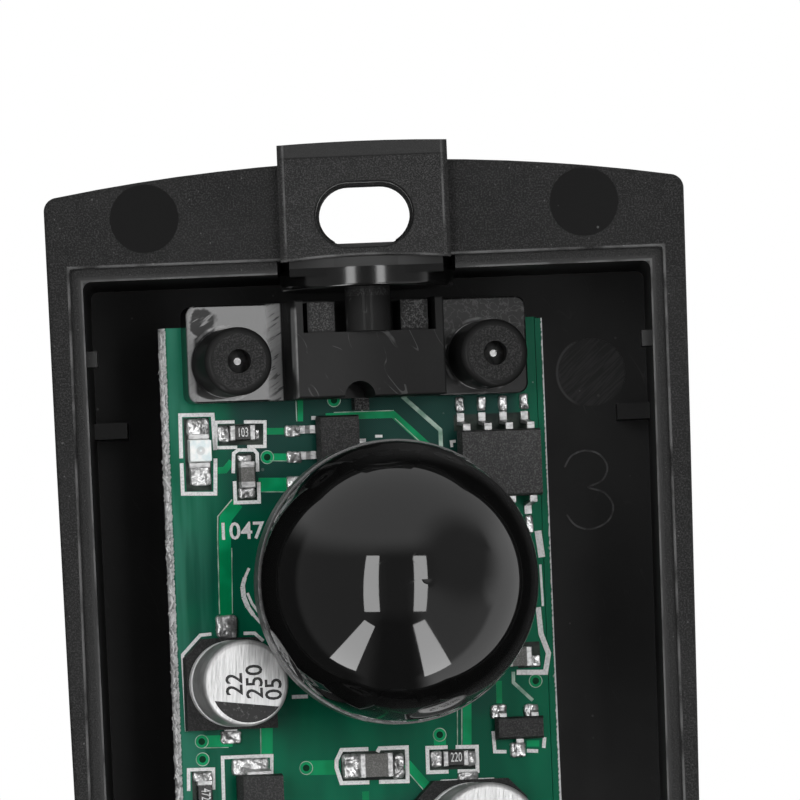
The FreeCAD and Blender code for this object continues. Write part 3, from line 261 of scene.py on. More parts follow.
class EffectLibrary:
    """Shader groups that several finishes share, each made once."""

    def __init__(self) -> None:
        """Start with no groups."""
        self.groups: dict[str, bpy.types.NodeTree] = {}

    def group(self, name: str, inputs: dict[str, float], outputs: Sequence[str],
              wire: Callable[[Graph, bpy.types.Node, bpy.types.Node], None]) -> bpy.types.NodeTree:
        """Make a group once and return it.

        Args:
            name: The group's name.
            inputs: Default of each number input by name. A vector input stands before them.
            outputs: Names of the value outputs.
            wire: Function that wires the group between its two end nodes.

        Returns:
            The shared node tree.
        """
        if name in self.groups:
            return self.groups[name]
        tree = bpy.data.node_groups.new(name, "ShaderNodeTree")
        tree.interface.new_socket("Vector", in_out="INPUT", socket_type="NodeSocketVector")
        for label, default in inputs.items():
            socket = tree.interface.new_socket(label, in_out="INPUT", socket_type="NodeSocketFloat")
            socket.default_value = default
        for label in outputs:
            tree.interface.new_socket(label, in_out="OUTPUT", socket_type="NodeSocketFloat")
        graph = Graph(tree)
        wire(graph, graph.node("NodeGroupInput"), graph.node("NodeGroupOutput"))
        self.groups[name] = tree
        return tree

    def moulded_grain(self) -> bpy.types.NodeTree:
        """Spark-eroded skin of moulded plastic: flecks and a height for the bump.

        Returns:
            The shared group.
        """
        def wire(graph: Graph, start: bpy.types.Node, end: bpy.types.Node) -> None:
            """Two sizes of grain, and bright flecks where both are high.

            Args:
                graph: The group's graph.
                start: Its input node.
                end: Its output node.
            """
            vector = start.outputs["Vector"]
            size = start.outputs["Size"]
            fine = graph.node("ShaderNodeTexNoise", {"Vector": vector, "Detail": 3.0, "Roughness": 0.65})
            graph.feed(fine.inputs["Scale"], graph.math("DIVIDE", 1.0, size))
            coarse = graph.node("ShaderNodeTexNoise", {"Vector": vector, "Detail": 2.0})
            graph.feed(coarse.inputs["Scale"], graph.math("DIVIDE", 0.22, size))
            both = graph.add(graph.times(fine.outputs["Fac"], 0.9), graph.times(coarse.outputs["Fac"], 0.1))
            graph.feed(end.inputs["Height"], both)
            graph.feed(end.inputs["Fleck"], graph.step(both, 0.46, 0.62))
        return self.group("moulded_grain", {"Size": 0.0001}, ("Fleck", "Height"), wire)

    def scratches(self) -> bpy.types.NodeTree:
        """Hair scratches that come and go.

        Returns:
            The shared group.
        """
        def wire(graph: Graph, start: bpy.types.Node, end: bpy.types.Node) -> None:
            """Thin contour lines of stretched noise, broken up by larger noise.

            Args:
                graph: The group's graph.
                start: Its input node.
                end: Its output node.
            """
            vector = start.outputs["Vector"]
            long_noise = graph.node("ShaderNodeTexNoise", {"Vector": vector, "Scale": 1.0, "Detail": 1.0})
            line = graph.absolute(graph.minus(long_noise.outputs["Fac"], 0.5))
            thin = graph.math("LESS_THAN", line, start.outputs["Width"])
            breaks = graph.noise(vector, 2.3, 2.0)
            graph.feed(end.inputs["Mask"], graph.times(thin, graph.step(breaks, 0.5, 0.62)))
        return self.group("scratches", {"Width": 0.01}, ("Mask",), wire)

    def dust(self) -> bpy.types.NodeTree:
        """Small light specks of dust and lint.

        Returns:
            The shared group.
        """
        def wire(graph: Graph, start: bpy.types.Node, end: bpy.types.Node) -> None:
            """Round specks in a few of many cells, each of its own size.

            Args:
                graph: The group's graph.
                start: Its input node.
                end: Its output node.
            """
            cells = graph.node("ShaderNodeTexVoronoi", {"Vector": start.outputs["Vector"]})
            graph.feed(cells.inputs["Scale"], start.outputs["Count"])
            shade = graph.node("ShaderNodeSeparateColor", {"Color": cells.outputs["Color"]})
            few = graph.math("LESS_THAN", shade.outputs[0], start.outputs["Share"])
            radius = graph.add(graph.times(shade.outputs[1], 0.12), 0.05)
            inside = graph.math("LESS_THAN", cells.outputs["Distance"], radius)
            graph.feed(end.inputs["Mask"], graph.times(few, inside, shade.outputs[2]))
        return self.group("dust", {"Count": 1000.0, "Share": 0.2}, ("Mask",), wire)

    def uneven_line(self) -> bpy.types.NodeTree:
        """A line where a distance is near zero, uneven along its length.

        Returns:
            The shared group.
        """
        def wire(graph: Graph, start: bpy.types.Node, end: bpy.types.Node) -> None:
            """Line mask times slow noise.

            Args:
                graph: The group's graph.
                start: Its input node.
                end: Its output node.
            """
            away = graph.math("DIVIDE", graph.absolute(start.outputs["Distance"]), start.outputs["Width"])
            wear = graph.noise(start.outputs["Vector"], 420.0, 3.0)
            line = graph.times(graph.step(away, 1.0, 0.4), graph.step(wear, 0.3, 0.62))
            graph.feed(end.inputs["Mask"], line)
        return self.group("uneven_line", {"Distance": 0.0, "Width": 0.1}, ("Mask",), wire)


EFFECTS = EffectLibrary()


class FinishGraph(Graph):
    """The graph of one material, with its shader and its coordinates at hand.

    Args:
        material: The material that is being made.
    """

    def __init__(self, material: bpy.types.Material) -> None:
        """Clear the tree and set the shader and the output."""
        super().__init__(material.node_tree)
        self.tree.nodes.clear()
        self.shader = self.node("ShaderNodeBsdfPrincipled")
        self.node("ShaderNodeOutputMaterial", {"Surface": self.shader.outputs[0]})
        self.place = self.node("ShaderNodeTexCoord").outputs["Object"]

    def millimetres(self, in_head: bool) -> tuple[bpy.types.NodeSocket, ...]:
        """Coordinates in millimetres.

        Args:
            in_head: True for the head's own frame, with its axis at x = y = 0.

        Returns:
            The vector and its x, y and z.
        """
        vector = self.place
        if in_head:
            shift = Matrix.Rotation(-HEAD_TURN, 3, "Z") @ Vector((0.0, -HEAD_DEPTH, 0.0))
            vector = self.node("ShaderNodeMapping", {"Vector": vector, "Location": shift,
                                                     "Rotation": (0.0, 0.0, -HEAD_TURN)}).outputs[0]
        scaled = self.node("ShaderNodeVectorMath", {0: vector}, operation="SCALE")
        scaled.inputs["Scale"].default_value = 1.0 / MM
        split = self.node("ShaderNodeSeparateXYZ", {"Vector": scaled.outputs[0]})
        return scaled.outputs[0], split.outputs[0], split.outputs[1], split.outputs[2]

    def effect(self, tree: bpy.types.NodeTree, **inputs: object) -> bpy.types.Node:
        """Place a shared group.

        Args:
            tree: The group.
            inputs: Its inputs by name.

        Returns:
            The group's node.
        """
        made = self.node("ShaderNodeGroup", node_tree=tree)
        for name, value in inputs.items():
            self.feed(made.inputs[name], value)
        return made

    def grain(self, size: float) -> tuple[bpy.types.NodeSocket, bpy.types.NodeSocket]:
        """Moulded grain over the whole object.

        Args:
            size: Size of a grain in metres.

        Returns:
            The mask of its flecks, and its height.
        """
        made = self.effect(EFFECTS.moulded_grain(), Vector=self.place, Size=size)
        return made.outputs["Fleck"], made.outputs["Height"]

    def specks(self, count: float, share: float) -> bpy.types.NodeSocket:
        """Mask of dust specks, in a share of the cells of which count lie along a metre."""
        return self.effect(EFFECTS.dust(), Vector=self.place, Count=count, Share=share).outputs["Mask"]

    def scratched(self, scale: Point3, turn: float, width: float) -> bpy.types.NodeSocket:
        """Mask of hair scratches.

        Args:
            scale: How close they lie along each axis.
            turn: Their turn about y in radians.
            width: How wide they are.

        Returns:
            The mask.
        """
        vector = self.stretch(self.place, scale, turn)
        return self.effect(EFFECTS.scratches(), Width=width, Vector=vector).outputs["Mask"]

    def edge_mark(self, distance: object, width: float) -> bpy.types.NodeSocket:
        """Mask of an uneven line where a distance in millimetres is near zero."""
        made = self.effect(EFFECTS.uneven_line(), Vector=self.place, Width=width, Distance=distance)
        return made.outputs["Mask"]

    def surface(self, colour: object, rough: object, bump: object = None, bump_height: float = 0.0,
                **plain: object) -> None:
        """Set the shader.

        Args:
            colour: Base colour.
            rough: Roughness.
            bump: Height socket for the bump, if any.
            bump_height: Height in metres that a bump value of 1 stands for.
            plain: Other inputs by name with underscores for spaces.
        """
        self.feed(self.shader.inputs["Base Color"], colour)
        self.feed(self.shader.inputs["Roughness"], rough)
        if bump is not None:
            made = self.node("ShaderNodeBump", {"Height": bump, "Distance": bump_height, "Strength": 1.0})
            self.feed(self.shader.inputs["Normal"], made.outputs[0])
        for name, value in plain.items():
            self.feed(self.shader.inputs[name.replace("_", " ")], value)


@dataclass(frozen=True)
class Finish:
    """A finish that is painted by a function of its graph."""

    name: str
    paint: Callable[[FinishGraph], None]

    def material(self) -> bpy.types.Material:
        """Make the material, or find the one that was made before.

        Returns:
            The material.
        """
        title = "finish_" + self.name
        made = bpy.data.materials.get(title)
        if made is None:
            made = bpy.data.materials.new(title)
            made.use_nodes = True
            self.paint(FinishGraph(made))
        return made


@dataclass(frozen=True)
class TubSizes:
    """The tub's outlines and marks in millimetres, for the finish that follows them.

    The cavity and the recess each have a half width at the cavity's top and bottom, and a half height.
    """

    cavity: tuple[float, float, float] = (16.28, 15.89, 24.65)
    recess: tuple[float, float, float] = (16.99, 16.86, 25.40)
    ledge: float = -2.0
    mark: Point2 = (12.6, 28.13)
    floor_mark: Point2 = (12.98, 18.8)
    mark_radius: float = 2.0

    def outside(self, graph: Graph, x: object, z: object,
                outline: tuple[float, float, float]) -> bpy.types.NodeSocket:
        """Distance outside a tapered rectangle, negative inside it.

        Args:
            graph: The graph that gets the nodes.
            x: Coordinate across the tub.
            z: Coordinate up it.
            outline: The cavity's or the recess's sizes.

        Returns:
            The distance in millimetres.
        """
        top, bottom, end = outline
        slope = (top - bottom) / (2 * self.cavity[2])
        half = graph.add(graph.times(z, slope), (top + bottom) / 2)
        return graph.most(graph.minus(graph.absolute(x), half), graph.minus(graph.absolute(z), end))


def paint_housing(graph: FinishGraph) -> None:
    """Grained flange with smooth round ejector marks, and a smooth dark inside.

    Args:
        graph: The material's graph.
    """
    tub = TubSizes()
    vector, x, y, z = graph.millimetres(False)
    cavity = tub.outside(graph, x, z, tub.cavity)
    recess = tub.outside(graph, x, z, tub.recess)
    inside = graph.times(graph.step(cavity, 0.4, 0.1), graph.step(y, 14.2, 13.9))
    slow = graph.noise(graph.place, 160.0, 3.0)
    # grained skin with pale specks, and a paler ledge inside the rim
    flecks, pores = graph.grain(0.0001)
    skin = graph.mix(graph.times(flecks, 0.9), grey(0.11), grey(0.225))
    skin = graph.mix(graph.times(graph.step(slow, 0.4, 0.62), 0.2), skin, grey(0.18))
    specks = graph.specks(3600.0, 0.3)
    skin = graph.mix(graph.times(specks, 0.4), skin, grey(0.5))
    ledge = graph.times(graph.step(recess, 0.05, -0.02), graph.near(y, tub.ledge, 0.12))
    skin = graph.mix(graph.times(ledge, 0.4), skin, grey(0.2))
    # smooth dark ejector marks on the flange
    mark_x = graph.minus(graph.absolute(x), tub.mark[0])
    mark_z = graph.minus(graph.absolute(z), tub.mark[1])
    mark_edge = graph.step(graph.distance(mark_x, mark_z), tub.mark_radius, tub.mark_radius - 0.07)
    mark = graph.times(mark_edge, graph.step(y, -2.2, -2.3))
    skin = graph.mix(mark, skin, grey(0.03))
    # the floor has a round insert mark that is crossed by fine strokes
    floor_x = graph.minus(x, tub.floor_mark[0])
    floor_radius = graph.distance(floor_x, graph.minus(z, tub.floor_mark[1]))
    on_floor = graph.step(y, 13.3, 13.6)
    floor_mark = graph.times(graph.step(floor_radius, tub.mark_radius, tub.mark_radius - 0.08), on_floor)
    strokes = graph.noise(graph.stretch(vector, (0.35, 1.0, 6.0), 0.75), 1.6, 2.0)
    stroked = graph.mix(graph.step(strokes, 0.42, 0.6), grey(0.13), grey(0.18))
    smooth = graph.mix(graph.step(slow, 0.35, 0.7), grey(0.1), grey(0.125))
    # painted light: the cavity's walls are painted lighter towards the opening, where light reaches in
    smooth = graph.mix(graph.step(y, 9.0, 3.0), smooth, grey(0.18))
    smooth = graph.mix(floor_mark, smooth, stroked)
    lines = graph.scratched((900.0, 900.0, 130.0), 0.5, 0.005)
    strong = graph.mixed(graph.times(on_floor, graph.step(floor_radius, 3.4, 2.6)), 0.04, 0.16)
    smooth = graph.mix(graph.times(lines, strong), smooth, grey(0.4))
    # painted highlight: a light arc on the left edge of the floor mark
    arc = graph.times(graph.near(floor_radius, tub.mark_radius + 0.02, 0.1), graph.step(floor_x, -0.6, -1.5))
    smooth = graph.mix(graph.times(arc, graph.times(on_floor, 0.6)), smooth, grey(0.32))
    colour = graph.mix(inside, skin, smooth)
    # light lines round the recess and the cavity, partly wear and partly a painted highlight of the rounded
    # edges, and dust over all
    rim = graph.edge_mark(graph.minus(recess, 0.06), 0.12)
    lip = graph.edge_mark(graph.minus(cavity, 0.03), 0.1)
    rim_line = graph.times(rim, graph.step(y, -2.28, -2.36))
    lip_line = graph.times(lip, graph.near(y, tub.ledge, 0.1))
    edge_mark = graph.times(graph.most(rim_line, graph.times(lip_line, 0.7)), 0.55)
    colour = graph.mix(edge_mark, colour, grey(0.5))
    dust = graph.specks(1800.0, 0.06)
    colour = graph.mix(graph.times(dust, 0.35), colour, grey(0.5))
    rough = graph.mixed(mark, graph.mixed(inside, 0.6, 0.4), 0.34)
    relief = graph.mixed(graph.most(inside, mark), pores, 0.5)
    graph.surface(colour, rough, relief, 0.00009, Specular_IOR_Level=0.13)


@dataclass(frozen=True)
class BracketSizes:
    """A bracket's outlines in millimetres, for its finish. Heights count from the part's middle."""

    disc_end: float = 24.95
    foot: float = 25.54
    foot_bend: float = 0.0114
    face: float = -3.35
    back: float = -1.9
    half_width: float = 4.8
    band: float = 31.2
    slot_height: float = 27.855
    slot_half_length: float = 0.925
    slot_radius: float = 1.85
    lip: Point2 = (27.0, 28.2)


def paint_bracket(graph: FinishGraph) -> None:
    """Speckled plate over a matt neck and a polished bearing disc, with light edges that are worn and painted
    highlight, painted shade and a painted reflection in the slot.

    Args:
        graph: The material's graph.
    """
    sizes = BracketSizes()
    _, x, y, z = graph.millimetres(False)
    height = graph.absolute(z)
    across = graph.absolute(x)
    disc = graph.step(height, sizes.disc_end, sizes.disc_end - 0.08)
    above_foot = graph.minus(height, graph.minus(sizes.foot, graph.times(x, x, sizes.foot_bend)))
    plate = graph.times(graph.step(above_foot, -0.05, 0.0), graph.step(y, sizes.back, sizes.back - 0.2))
    # speckled plate, matt neck painted darker towards its sides as shade on its curve, and polished disc
    flecks, pores = graph.grain(0.00009)
    lines = graph.scratched((800.0, 800.0, 150.0), 0.9, 0.005)
    specks = graph.specks(3600.0, 0.3)
    colour = graph.mix(graph.times(flecks, 0.9), grey(0.12), grey(0.25))
    colour = graph.mix(graph.times(lines, 0.2), colour, grey(0.4))
    colour = graph.mix(graph.times(specks, 0.4), colour, grey(0.5))
    neck = graph.mix(graph.step(across, 1.5, 4.2), grey(0.2), grey(0.1))
    colour = graph.mix(disc, graph.mix(plate, neck, colour), grey(0.05))
    # smooth band along the plate's end, set off by a line of painted shade, and painted shade along the
    # plate's sides
    side = graph.minus(across, sizes.half_width)
    band = graph.step(height, sizes.band - 0.03, sizes.band + 0.03)
    colour = graph.mix(graph.times(band, plate, 0.85), colour, grey(0.205))
    shade = graph.most(graph.near(height, sizes.band, 0.07), graph.step(side, -0.16, -0.1))
    colour = graph.mix(graph.times(shade, plate, 0.6), colour, grey(0.06))
    # light lines beside the plate's sides and along its foot, partly wear and partly a painted highlight of
    # the edges
    edge = graph.edge_mark(graph.add(side, 0.26), 0.08)
    foot = graph.edge_mark(graph.minus(above_foot, 0.03), 0.12)
    edge_mark = graph.times(graph.most(graph.times(edge, 0.7), foot), plate)
    colour = graph.mix(graph.times(edge_mark, 0.5), colour, grey(0.5))
    # dark line round the slot, and a painted reflection in the slot's wall as a pale lip in its outer half
    slot_x = graph.most(graph.minus(across, sizes.slot_half_length), 0.0)
    slot = graph.minus(graph.distance(slot_x, graph.minus(height, sizes.slot_height)), sizes.slot_radius)
    slot_edge = graph.edge_mark(slot, 0.14)
    slot_line = graph.times(slot_edge, graph.step(y, sizes.face + 0.15, sizes.face), plate)
    colour = graph.mix(graph.times(slot_line, 0.8), colour, grey(0.04))
    lip = graph.times(graph.step(slot, 0.12, 0.02), graph.step(height, *sizes.lip),
                      graph.step(y, sizes.face - 0.03, sizes.face + 0.01))
    colour = graph.mix(graph.times(lip, 0.9), colour, grey(0.85))
    relief = graph.mixed(disc, graph.mixed(plate, 0.5, pores), 0.5)
    graph.surface(colour, graph.mixed(disc, 0.5, 0.2), relief, 0.00007, Specular_IOR_Level=0.15,
                  Coat_Weight=graph.times(disc, 0.8), Coat_Roughness=0.13)


@dataclass(frozen=True)
class CarrierSizes:
    """A carrier's outlines in millimetres in the head's frame, for its finish.

    Heights count from the part's middle, and the worn corner's first value counts to the left.
    """

    boss_shift: float = 0.25
    boss_x: float = 7.54
    boss_height: float = 19.825
    plate_front: float = 3.0
    block_half_width: float = 4.5
    lug_x: float = 2.75
    lug_start: float = 21.35
    hub_start: float = 23.3
    tab_end: float = 17.6
    worn_corner: Point2 = (9.05, 22.1)


def paint_carrier(graph: FinishGraph) -> None:
    """Polished black wings, a matt block with matt lugs and boss ends, scuffs, and painted reflections and
    highlights.

    Args:
        graph: The material's graph.
    """
    sizes = CarrierSizes()
    front = sizes.plate_front
    vector, x, y, z = graph.millimetres(True)
    height = graph.absolute(z)
    flecks, pores = graph.grain(0.0001)
    boss_x = graph.minus(graph.absolute(graph.add(x, sizes.boss_shift)), sizes.boss_x)
    boss = graph.distance(boss_x, graph.minus(height, sizes.boss_height))
    wing = graph.times(graph.step(y, front, front + 0.15), graph.step(boss, 2.02, 2.12))
    colour = graph.mix(graph.step(graph.noise(graph.place, 260.0, 3.0), 0.35, 0.7), grey(0.06), grey(0.11))
    # strokes where the left wing's polish has gone, at the block and in the outer corner
    left = graph.step(x, -4.45, -4.55)
    brush = graph.noise(graph.stretch(vector, (0.55, 1.0, 3.4), 0.55), 1.5, 2.0)
    border = graph.times(graph.step(x, -5.7, -4.7), graph.step(brush, 0.44, 0.38))
    away = graph.distance(graph.add(x, sizes.worn_corner[0]), graph.minus(height, sizes.worn_corner[1]))
    corner = graph.add(away, graph.times(graph.noise(vector, 1.6, 2.0), 1.1))
    patch = graph.times(graph.step(corner, 1.5, 1.25), graph.step(brush, 0.64, 0.56))
    dull = graph.times(left, graph.most(border, patch))
    # pale painted reflection with scuff strokes beside the block and down the outer margin
    margin = graph.most(graph.step(x, -5.45, -5.2), graph.step(x, -9.5, -9.75))
    scuffs_and_reflection = graph.times(graph.times(left, wing), graph.times(margin, graph.minus(1.0, patch)))
    scuffs_and_reflection = graph.times(scuffs_and_reflection, graph.step(y, front + 0.45, front + 0.3))
    pale = graph.mix(graph.times(border, 0.85), graph.mix(brush, grey(0.4), grey(0.56)), grey(0.2))
    colour = graph.mix(scuffs_and_reflection, colour, pale)
    # scribbles on the right wing, and a painted highlight in a broken arc at the foot of each boss
    right = graph.times(graph.step(x, 4.8, 5.4), graph.times(wing, graph.step(height, 20.6, 21.4)))
    scribble = graph.absolute(graph.minus(graph.noise(vector, 2.1, 3.0), 0.5))
    scribbled = graph.times(right, graph.times(graph.step(scribble, 0.03, 0.01), 0.4))
    colour = graph.mix(scribbled, colour, grey(0.36))
    arc = graph.times(graph.near(boss, 2.14, 0.12), graph.step(graph.noise(vector, 1.1, 2.0), 0.45, 0.6))
    colour = graph.mix(graph.times(arc, wing, 0.5), colour, grey(0.45))
    # matt ends of the bosses, matt lugs and hub, and the tab on the board
    boss_end = graph.times(graph.step(boss, 1.66, 1.5), graph.step(y, -0.3, -0.5))
    lug_x = graph.near(graph.minus(graph.absolute(x), sizes.lug_x), 0.0, 1.0)
    lug_end = graph.step(height, sizes.lug_start, sizes.lug_start + 0.15)
    lug = graph.times(lug_x, lug_end, graph.step(y, 0.4, 0.3))
    hub = graph.step(height, sizes.hub_start, sizes.hub_start + 0.1)
    tab = graph.step(height, sizes.tab_end, sizes.tab_end - 0.1)
    in_block = graph.step(graph.absolute(x), sizes.block_half_width, sizes.block_half_width - 0.08)
    block = graph.times(in_block, graph.step(y, front + 0.1, front - 0.1))
    boss_side = graph.times(graph.step(boss, 2.18, 2.12), graph.step(y, front + 0.1, front))
    matt = graph.most(boss_end, lug, hub, tab)
    fleck = graph.mix(graph.times(boss_end, 0.7), grey(0.33), grey(0.2))
    colour = graph.mix(matt, colour, graph.mix(flecks, grey(0.14), fleck))
    colour = graph.mix(graph.times(boss_side, graph.minus(1.0, boss_end)), colour, grey(0.11))
    colour = graph.mix(graph.times(graph.step(y, 0.2, -0.1), graph.times(block, 0.6)), colour, grey(0.13))
    # scratches, mostly on the block, and a painted highlight down its left edge
    lines = graph.scratched((700.0, 700.0, 240.0), 0.6, 0.006)
    scratched = graph.times(lines, graph.mixed(block, 0.06, 0.3))
    colour = graph.mix(scratched, colour, grey(0.42))
    edge = graph.edge_mark(graph.add(x, 4.36), 0.11)
    edge_line = graph.times(edge, graph.step(y, 1.0, 0.6), graph.step(height, 22.9, 22.6))
    colour = graph.mix(graph.times(edge_line, 0.7), colour, grey(0.55))
    bare = graph.most(dull, scuffs_and_reflection, boss_side)
    polish = graph.times(graph.mixed(bare, 1.0, 0.08), graph.mixed(graph.most(matt, block), 0.72, 0.04))
    graph.surface(colour, graph.mixed(graph.most(matt, block, boss_side), 0.3, 0.62),
                  graph.mixed(matt, 0.5, pores), 0.0001, Specular_IOR_Level=0.12,
                  Coat_Weight=polish, Coat_Roughness=0.05)


def paint_board(graph: FinishGraph) -> None:
    """Green solder mask over copper and laminate, with torn glass fibres along the snapped edges.

    Args:
        graph: The material's graph.
    """
    vector, x, _, z = graph.millimetres(True)
    # copper under the mask, a clear stretch near the top, a teal cast and the greener right side
    slow = graph.noise(graph.stretch(vector, (0.5, 1.0, 0.12)), 0.7, 2.0)
    pour = graph.mix(graph.step(slow, 0.35, 0.7), rgb(0.0, 0.29, 0.21), rgb(0.01, 0.38, 0.27))
    teal = graph.noise(vector, 0.16, 1.0)
    clear = graph.times(graph.step(z, 10.5, 13.0), graph.step(x, -8.4, -6.4))
    colour = graph.mix(graph.times(clear, 0.9), pour, rgb(0.08, 0.185, 0.18))
    colour = graph.mix(graph.times(graph.step(teal, 0.48, 0.6), 0.55), colour, rgb(0.07, 0.23, 0.2))
    colour = graph.mix(graph.times(graph.step(x, 9.2, 10.4), 0.7), colour, rgb(0.01, 0.37, 0.26))
    # pale streaks down the left side, a painted reflection on the mask, and the glass weave
    streak = graph.step(graph.noise(graph.stretch(vector, (1.0, 1.0, 0.1)), 1.3, 2.0), 0.3, 0.6)
    painted_sheen = graph.times(graph.step(x, -7.4, -10.6), streak)
    colour = graph.mix(graph.times(painted_sheen, 0.75), colour, rgb(0.17, 0.44, 0.36))
    weave = graph.node("ShaderNodeTexWave", {"Vector": graph.stretch(vector, (3.4, 1.0, 3.4), 0.785),
                                             "Scale": 1.0, "Distortion": 2.0}, wave_type="BANDS")
    colour = graph.mix(graph.times(weave.outputs["Fac"], 0.04), colour, rgb(0.3, 0.6, 0.5))
    # torn fibres at both edges, of which the right one lies further out
    sides = graph.most(graph.times(x, -1.0), graph.minus(x, 0.35))
    tuft = graph.noise(graph.stretch(vector, (1.2, 0.8, 3.2), 0.6), 2.2, 3.0)
    fray = graph.step(graph.add(sides, graph.times(tuft, 0.16)), 11.03, 11.07)
    colour = graph.mix(fray, colour, graph.mix(graph.step(tuft, 0.32, 0.5), grey(0.62), grey(0.8)))
    dust = graph.specks(1700.0, 0.05)
    colour = graph.mix(graph.times(dust, 0.5), colour, grey(0.7))
    relief = graph.mixed(graph.times(fray, graph.step(x, 0.0, -1.0)), graph.times(slow, 0.02), tuft)
    graph.surface(colour, graph.mixed(fray, 0.3, 0.85), relief, 0.0002, Specular_IOR_Level=0.04)


def paint_track(graph: FinishGraph) -> None:
    """Solder mask where copper lies under it.

    Args:
        graph: The material's graph.
    """
    vector, *_ = graph.millimetres(True)
    cloud = graph.noise(vector, 0.5, 2.0)
    colour = graph.mix(graph.step(cloud, 0.35, 0.65), rgb(0.0, 0.46, 0.28), rgb(0.02, 0.57, 0.36))
    graph.surface(colour, graph.mixed(cloud, 0.26, 0.38), cloud, 0.00002, Specular_IOR_Level=0.05)


def paint_track_highlight(graph: FinishGraph) -> None:
    """Painted highlight: pale shine on the mask's shoulder along a copper track.

    Args:
        graph: The material's graph.
    """
    vector, *_ = graph.millimetres(True)
    cloud = graph.noise(vector, 1.4, 2.0)
    colour = graph.mix(graph.step(cloud, 0.3, 0.7), rgb(0.38, 0.52, 0.45), rgb(0.66, 0.74, 0.69))
    graph.surface(colour, graph.mixed(cloud, 0.3, 0.45), Specular_IOR_Level=0.2)


def paint_print(graph: FinishGraph) -> None:
    """White screen print, a little grainy.

    Args:
        graph: The material's graph.
    """
    fine = graph.noise(graph.place, 9000.0, 3.0)
    colour = graph.mix(graph.step(fine, 0.3, 0.6), grey(0.78), grey(0.88))
    graph.surface(colour, graph.mixed(fine, 0.55, 0.75), fine, 0.00001, Specular_IOR_Level=0.3)


def paint_solder(graph: FinishGraph) -> None:
    """Wrinkled bright solder.

    Args:
        graph: The material's graph.
    """
    ripple = graph.noise(graph.place, 1500.0, 2.0)
    fine = graph.noise(graph.place, 5200.0, 2.0)
    colour = graph.mix(graph.step(ripple, 0.36, 0.52), grey(0.5), grey(0.8))
    rough = graph.mixed(fine, 0.22, 0.36)
    graph.surface(colour, rough, graph.add(ripple, graph.times(fine, 0.12)), 0.00028, Metallic=0.62)


def paint_tinned(graph: FinishGraph) -> None:
    """Dull tin plating on leads and end caps.

    Args:
        graph: The material's graph.
    """
    streak = graph.noise(graph.stretch(graph.place, (2200.0, 2200.0, 5200.0)), 1.0, 3.0)
    colour = graph.mix(graph.step(streak, 0.32, 0.62), grey(0.52), grey(0.7))
    graph.surface(colour, graph.mixed(streak, 0.3, 0.46), streak, 0.00003, Metallic=0.6)


def paint_steel(graph: FinishGraph) -> None:
    """Plated screw steel with turning marks.

    Args:
        graph: The material's graph.
    """
    mark = graph.noise(graph.stretch(graph.place, (3000.0, 700.0, 3000.0)), 1.0, 3.0)
    colour = graph.mix(graph.step(mark, 0.32, 0.62), grey(0.42), grey(0.62))
    graph.surface(colour, graph.mixed(mark, 0.28, 0.42), mark, 0.00002, Metallic=0.8)


def paint_lens(graph: FinishGraph) -> None:
    """Polished black dome with a few specks, a painted grey reflection over its outer zone and rim, and a
    scuffed, dusty rim.

    Args:
        graph: The material's graph.
    """
    _, x, y, z = graph.millimetres(True)
    dust = graph.specks(1500.0, 0.012)
    lines = graph.scratched((160.0, 500.0, 500.0), 0.4, 0.0035)
    rim = graph.step(y, -5.75, -5.3)
    scuff = graph.noise(graph.place, 1500.0, 3.0, 0.7)
    low = graph.step(graph.add(graph.times(x, 0.55), z), 4.5, 0.5)
    dusty = graph.times(graph.times(rim, low), graph.step(scuff, 0.42, 0.6))
    # painted reflection: lighter grey over the dome's outer zone, except on its right, and over the rim
    painted_reflection = graph.most(graph.times(graph.step(y, -9.8, -8.2), graph.step(x, -4.0, 3.0)), rim)
    colour = graph.mix(painted_reflection, grey(0.05), grey(0.24))
    colour = graph.mix(graph.times(dust, 0.9), colour, grey(0.75))
    colour = graph.mix(graph.times(dusty, 0.6), colour, grey(0.5))
    smear = graph.noise(graph.place, 240.0, 3.0)
    scratched = graph.times(lines, 0.08)
    rough = graph.add(graph.mixed(graph.step(smear, 0.45, 0.7), 0.035, 0.06), scratched)
    rough = graph.add(rough, graph.times(rim, 0.3))
    graph.surface(colour, rough, Specular_IOR_Level=0.5)


def package_paint(dark: float, light: float) -> Callable[[FinishGraph], None]:
    """A paint for dark moulding compound with pale grains.

    Args:
        dark: Display level of the compound.
        light: Display level of its grains.

    Returns:
        The paint function.
    """
    def paint(graph: FinishGraph) -> None:
        """Grains of two sizes on a matt face."""
        flecks, pores = graph.grain(0.00009)
        colour = graph.mix(graph.times(flecks, 0.9), grey(dark), grey(light))
        rough = graph.mixed(flecks, 0.62, 0.5)
        graph.surface(colour, rough, pores, 0.00005, Specular_IOR_Level=0.2)
    return paint


def paint_resistor(graph: FinishGraph) -> None:
    """Black glaze of chip resistors.

    Args:
        graph: The material's graph.
    """
    cloud = graph.noise(graph.place, 1800.0, 2.0)
    graph.surface(graph.mix(cloud, grey(0.05), grey(0.11)), graph.mixed(cloud, 0.2, 0.35), cloud, 0.00001,
                  Specular_IOR_Level=0.25)


def paint_ceramic(graph: FinishGraph) -> None:
    """Fired grey-brown ceramic of chip capacitors.

    Args:
        graph: The material's graph.
    """
    flecks, pores = graph.grain(0.00008)
    colour = graph.mix(flecks, rgb(0.36, 0.36, 0.35), rgb(0.46, 0.455, 0.45))
    graph.surface(colour, graph.mixed(flecks, 0.5, 0.62), pores, 0.00003,
                  Specular_IOR_Level=0.2)


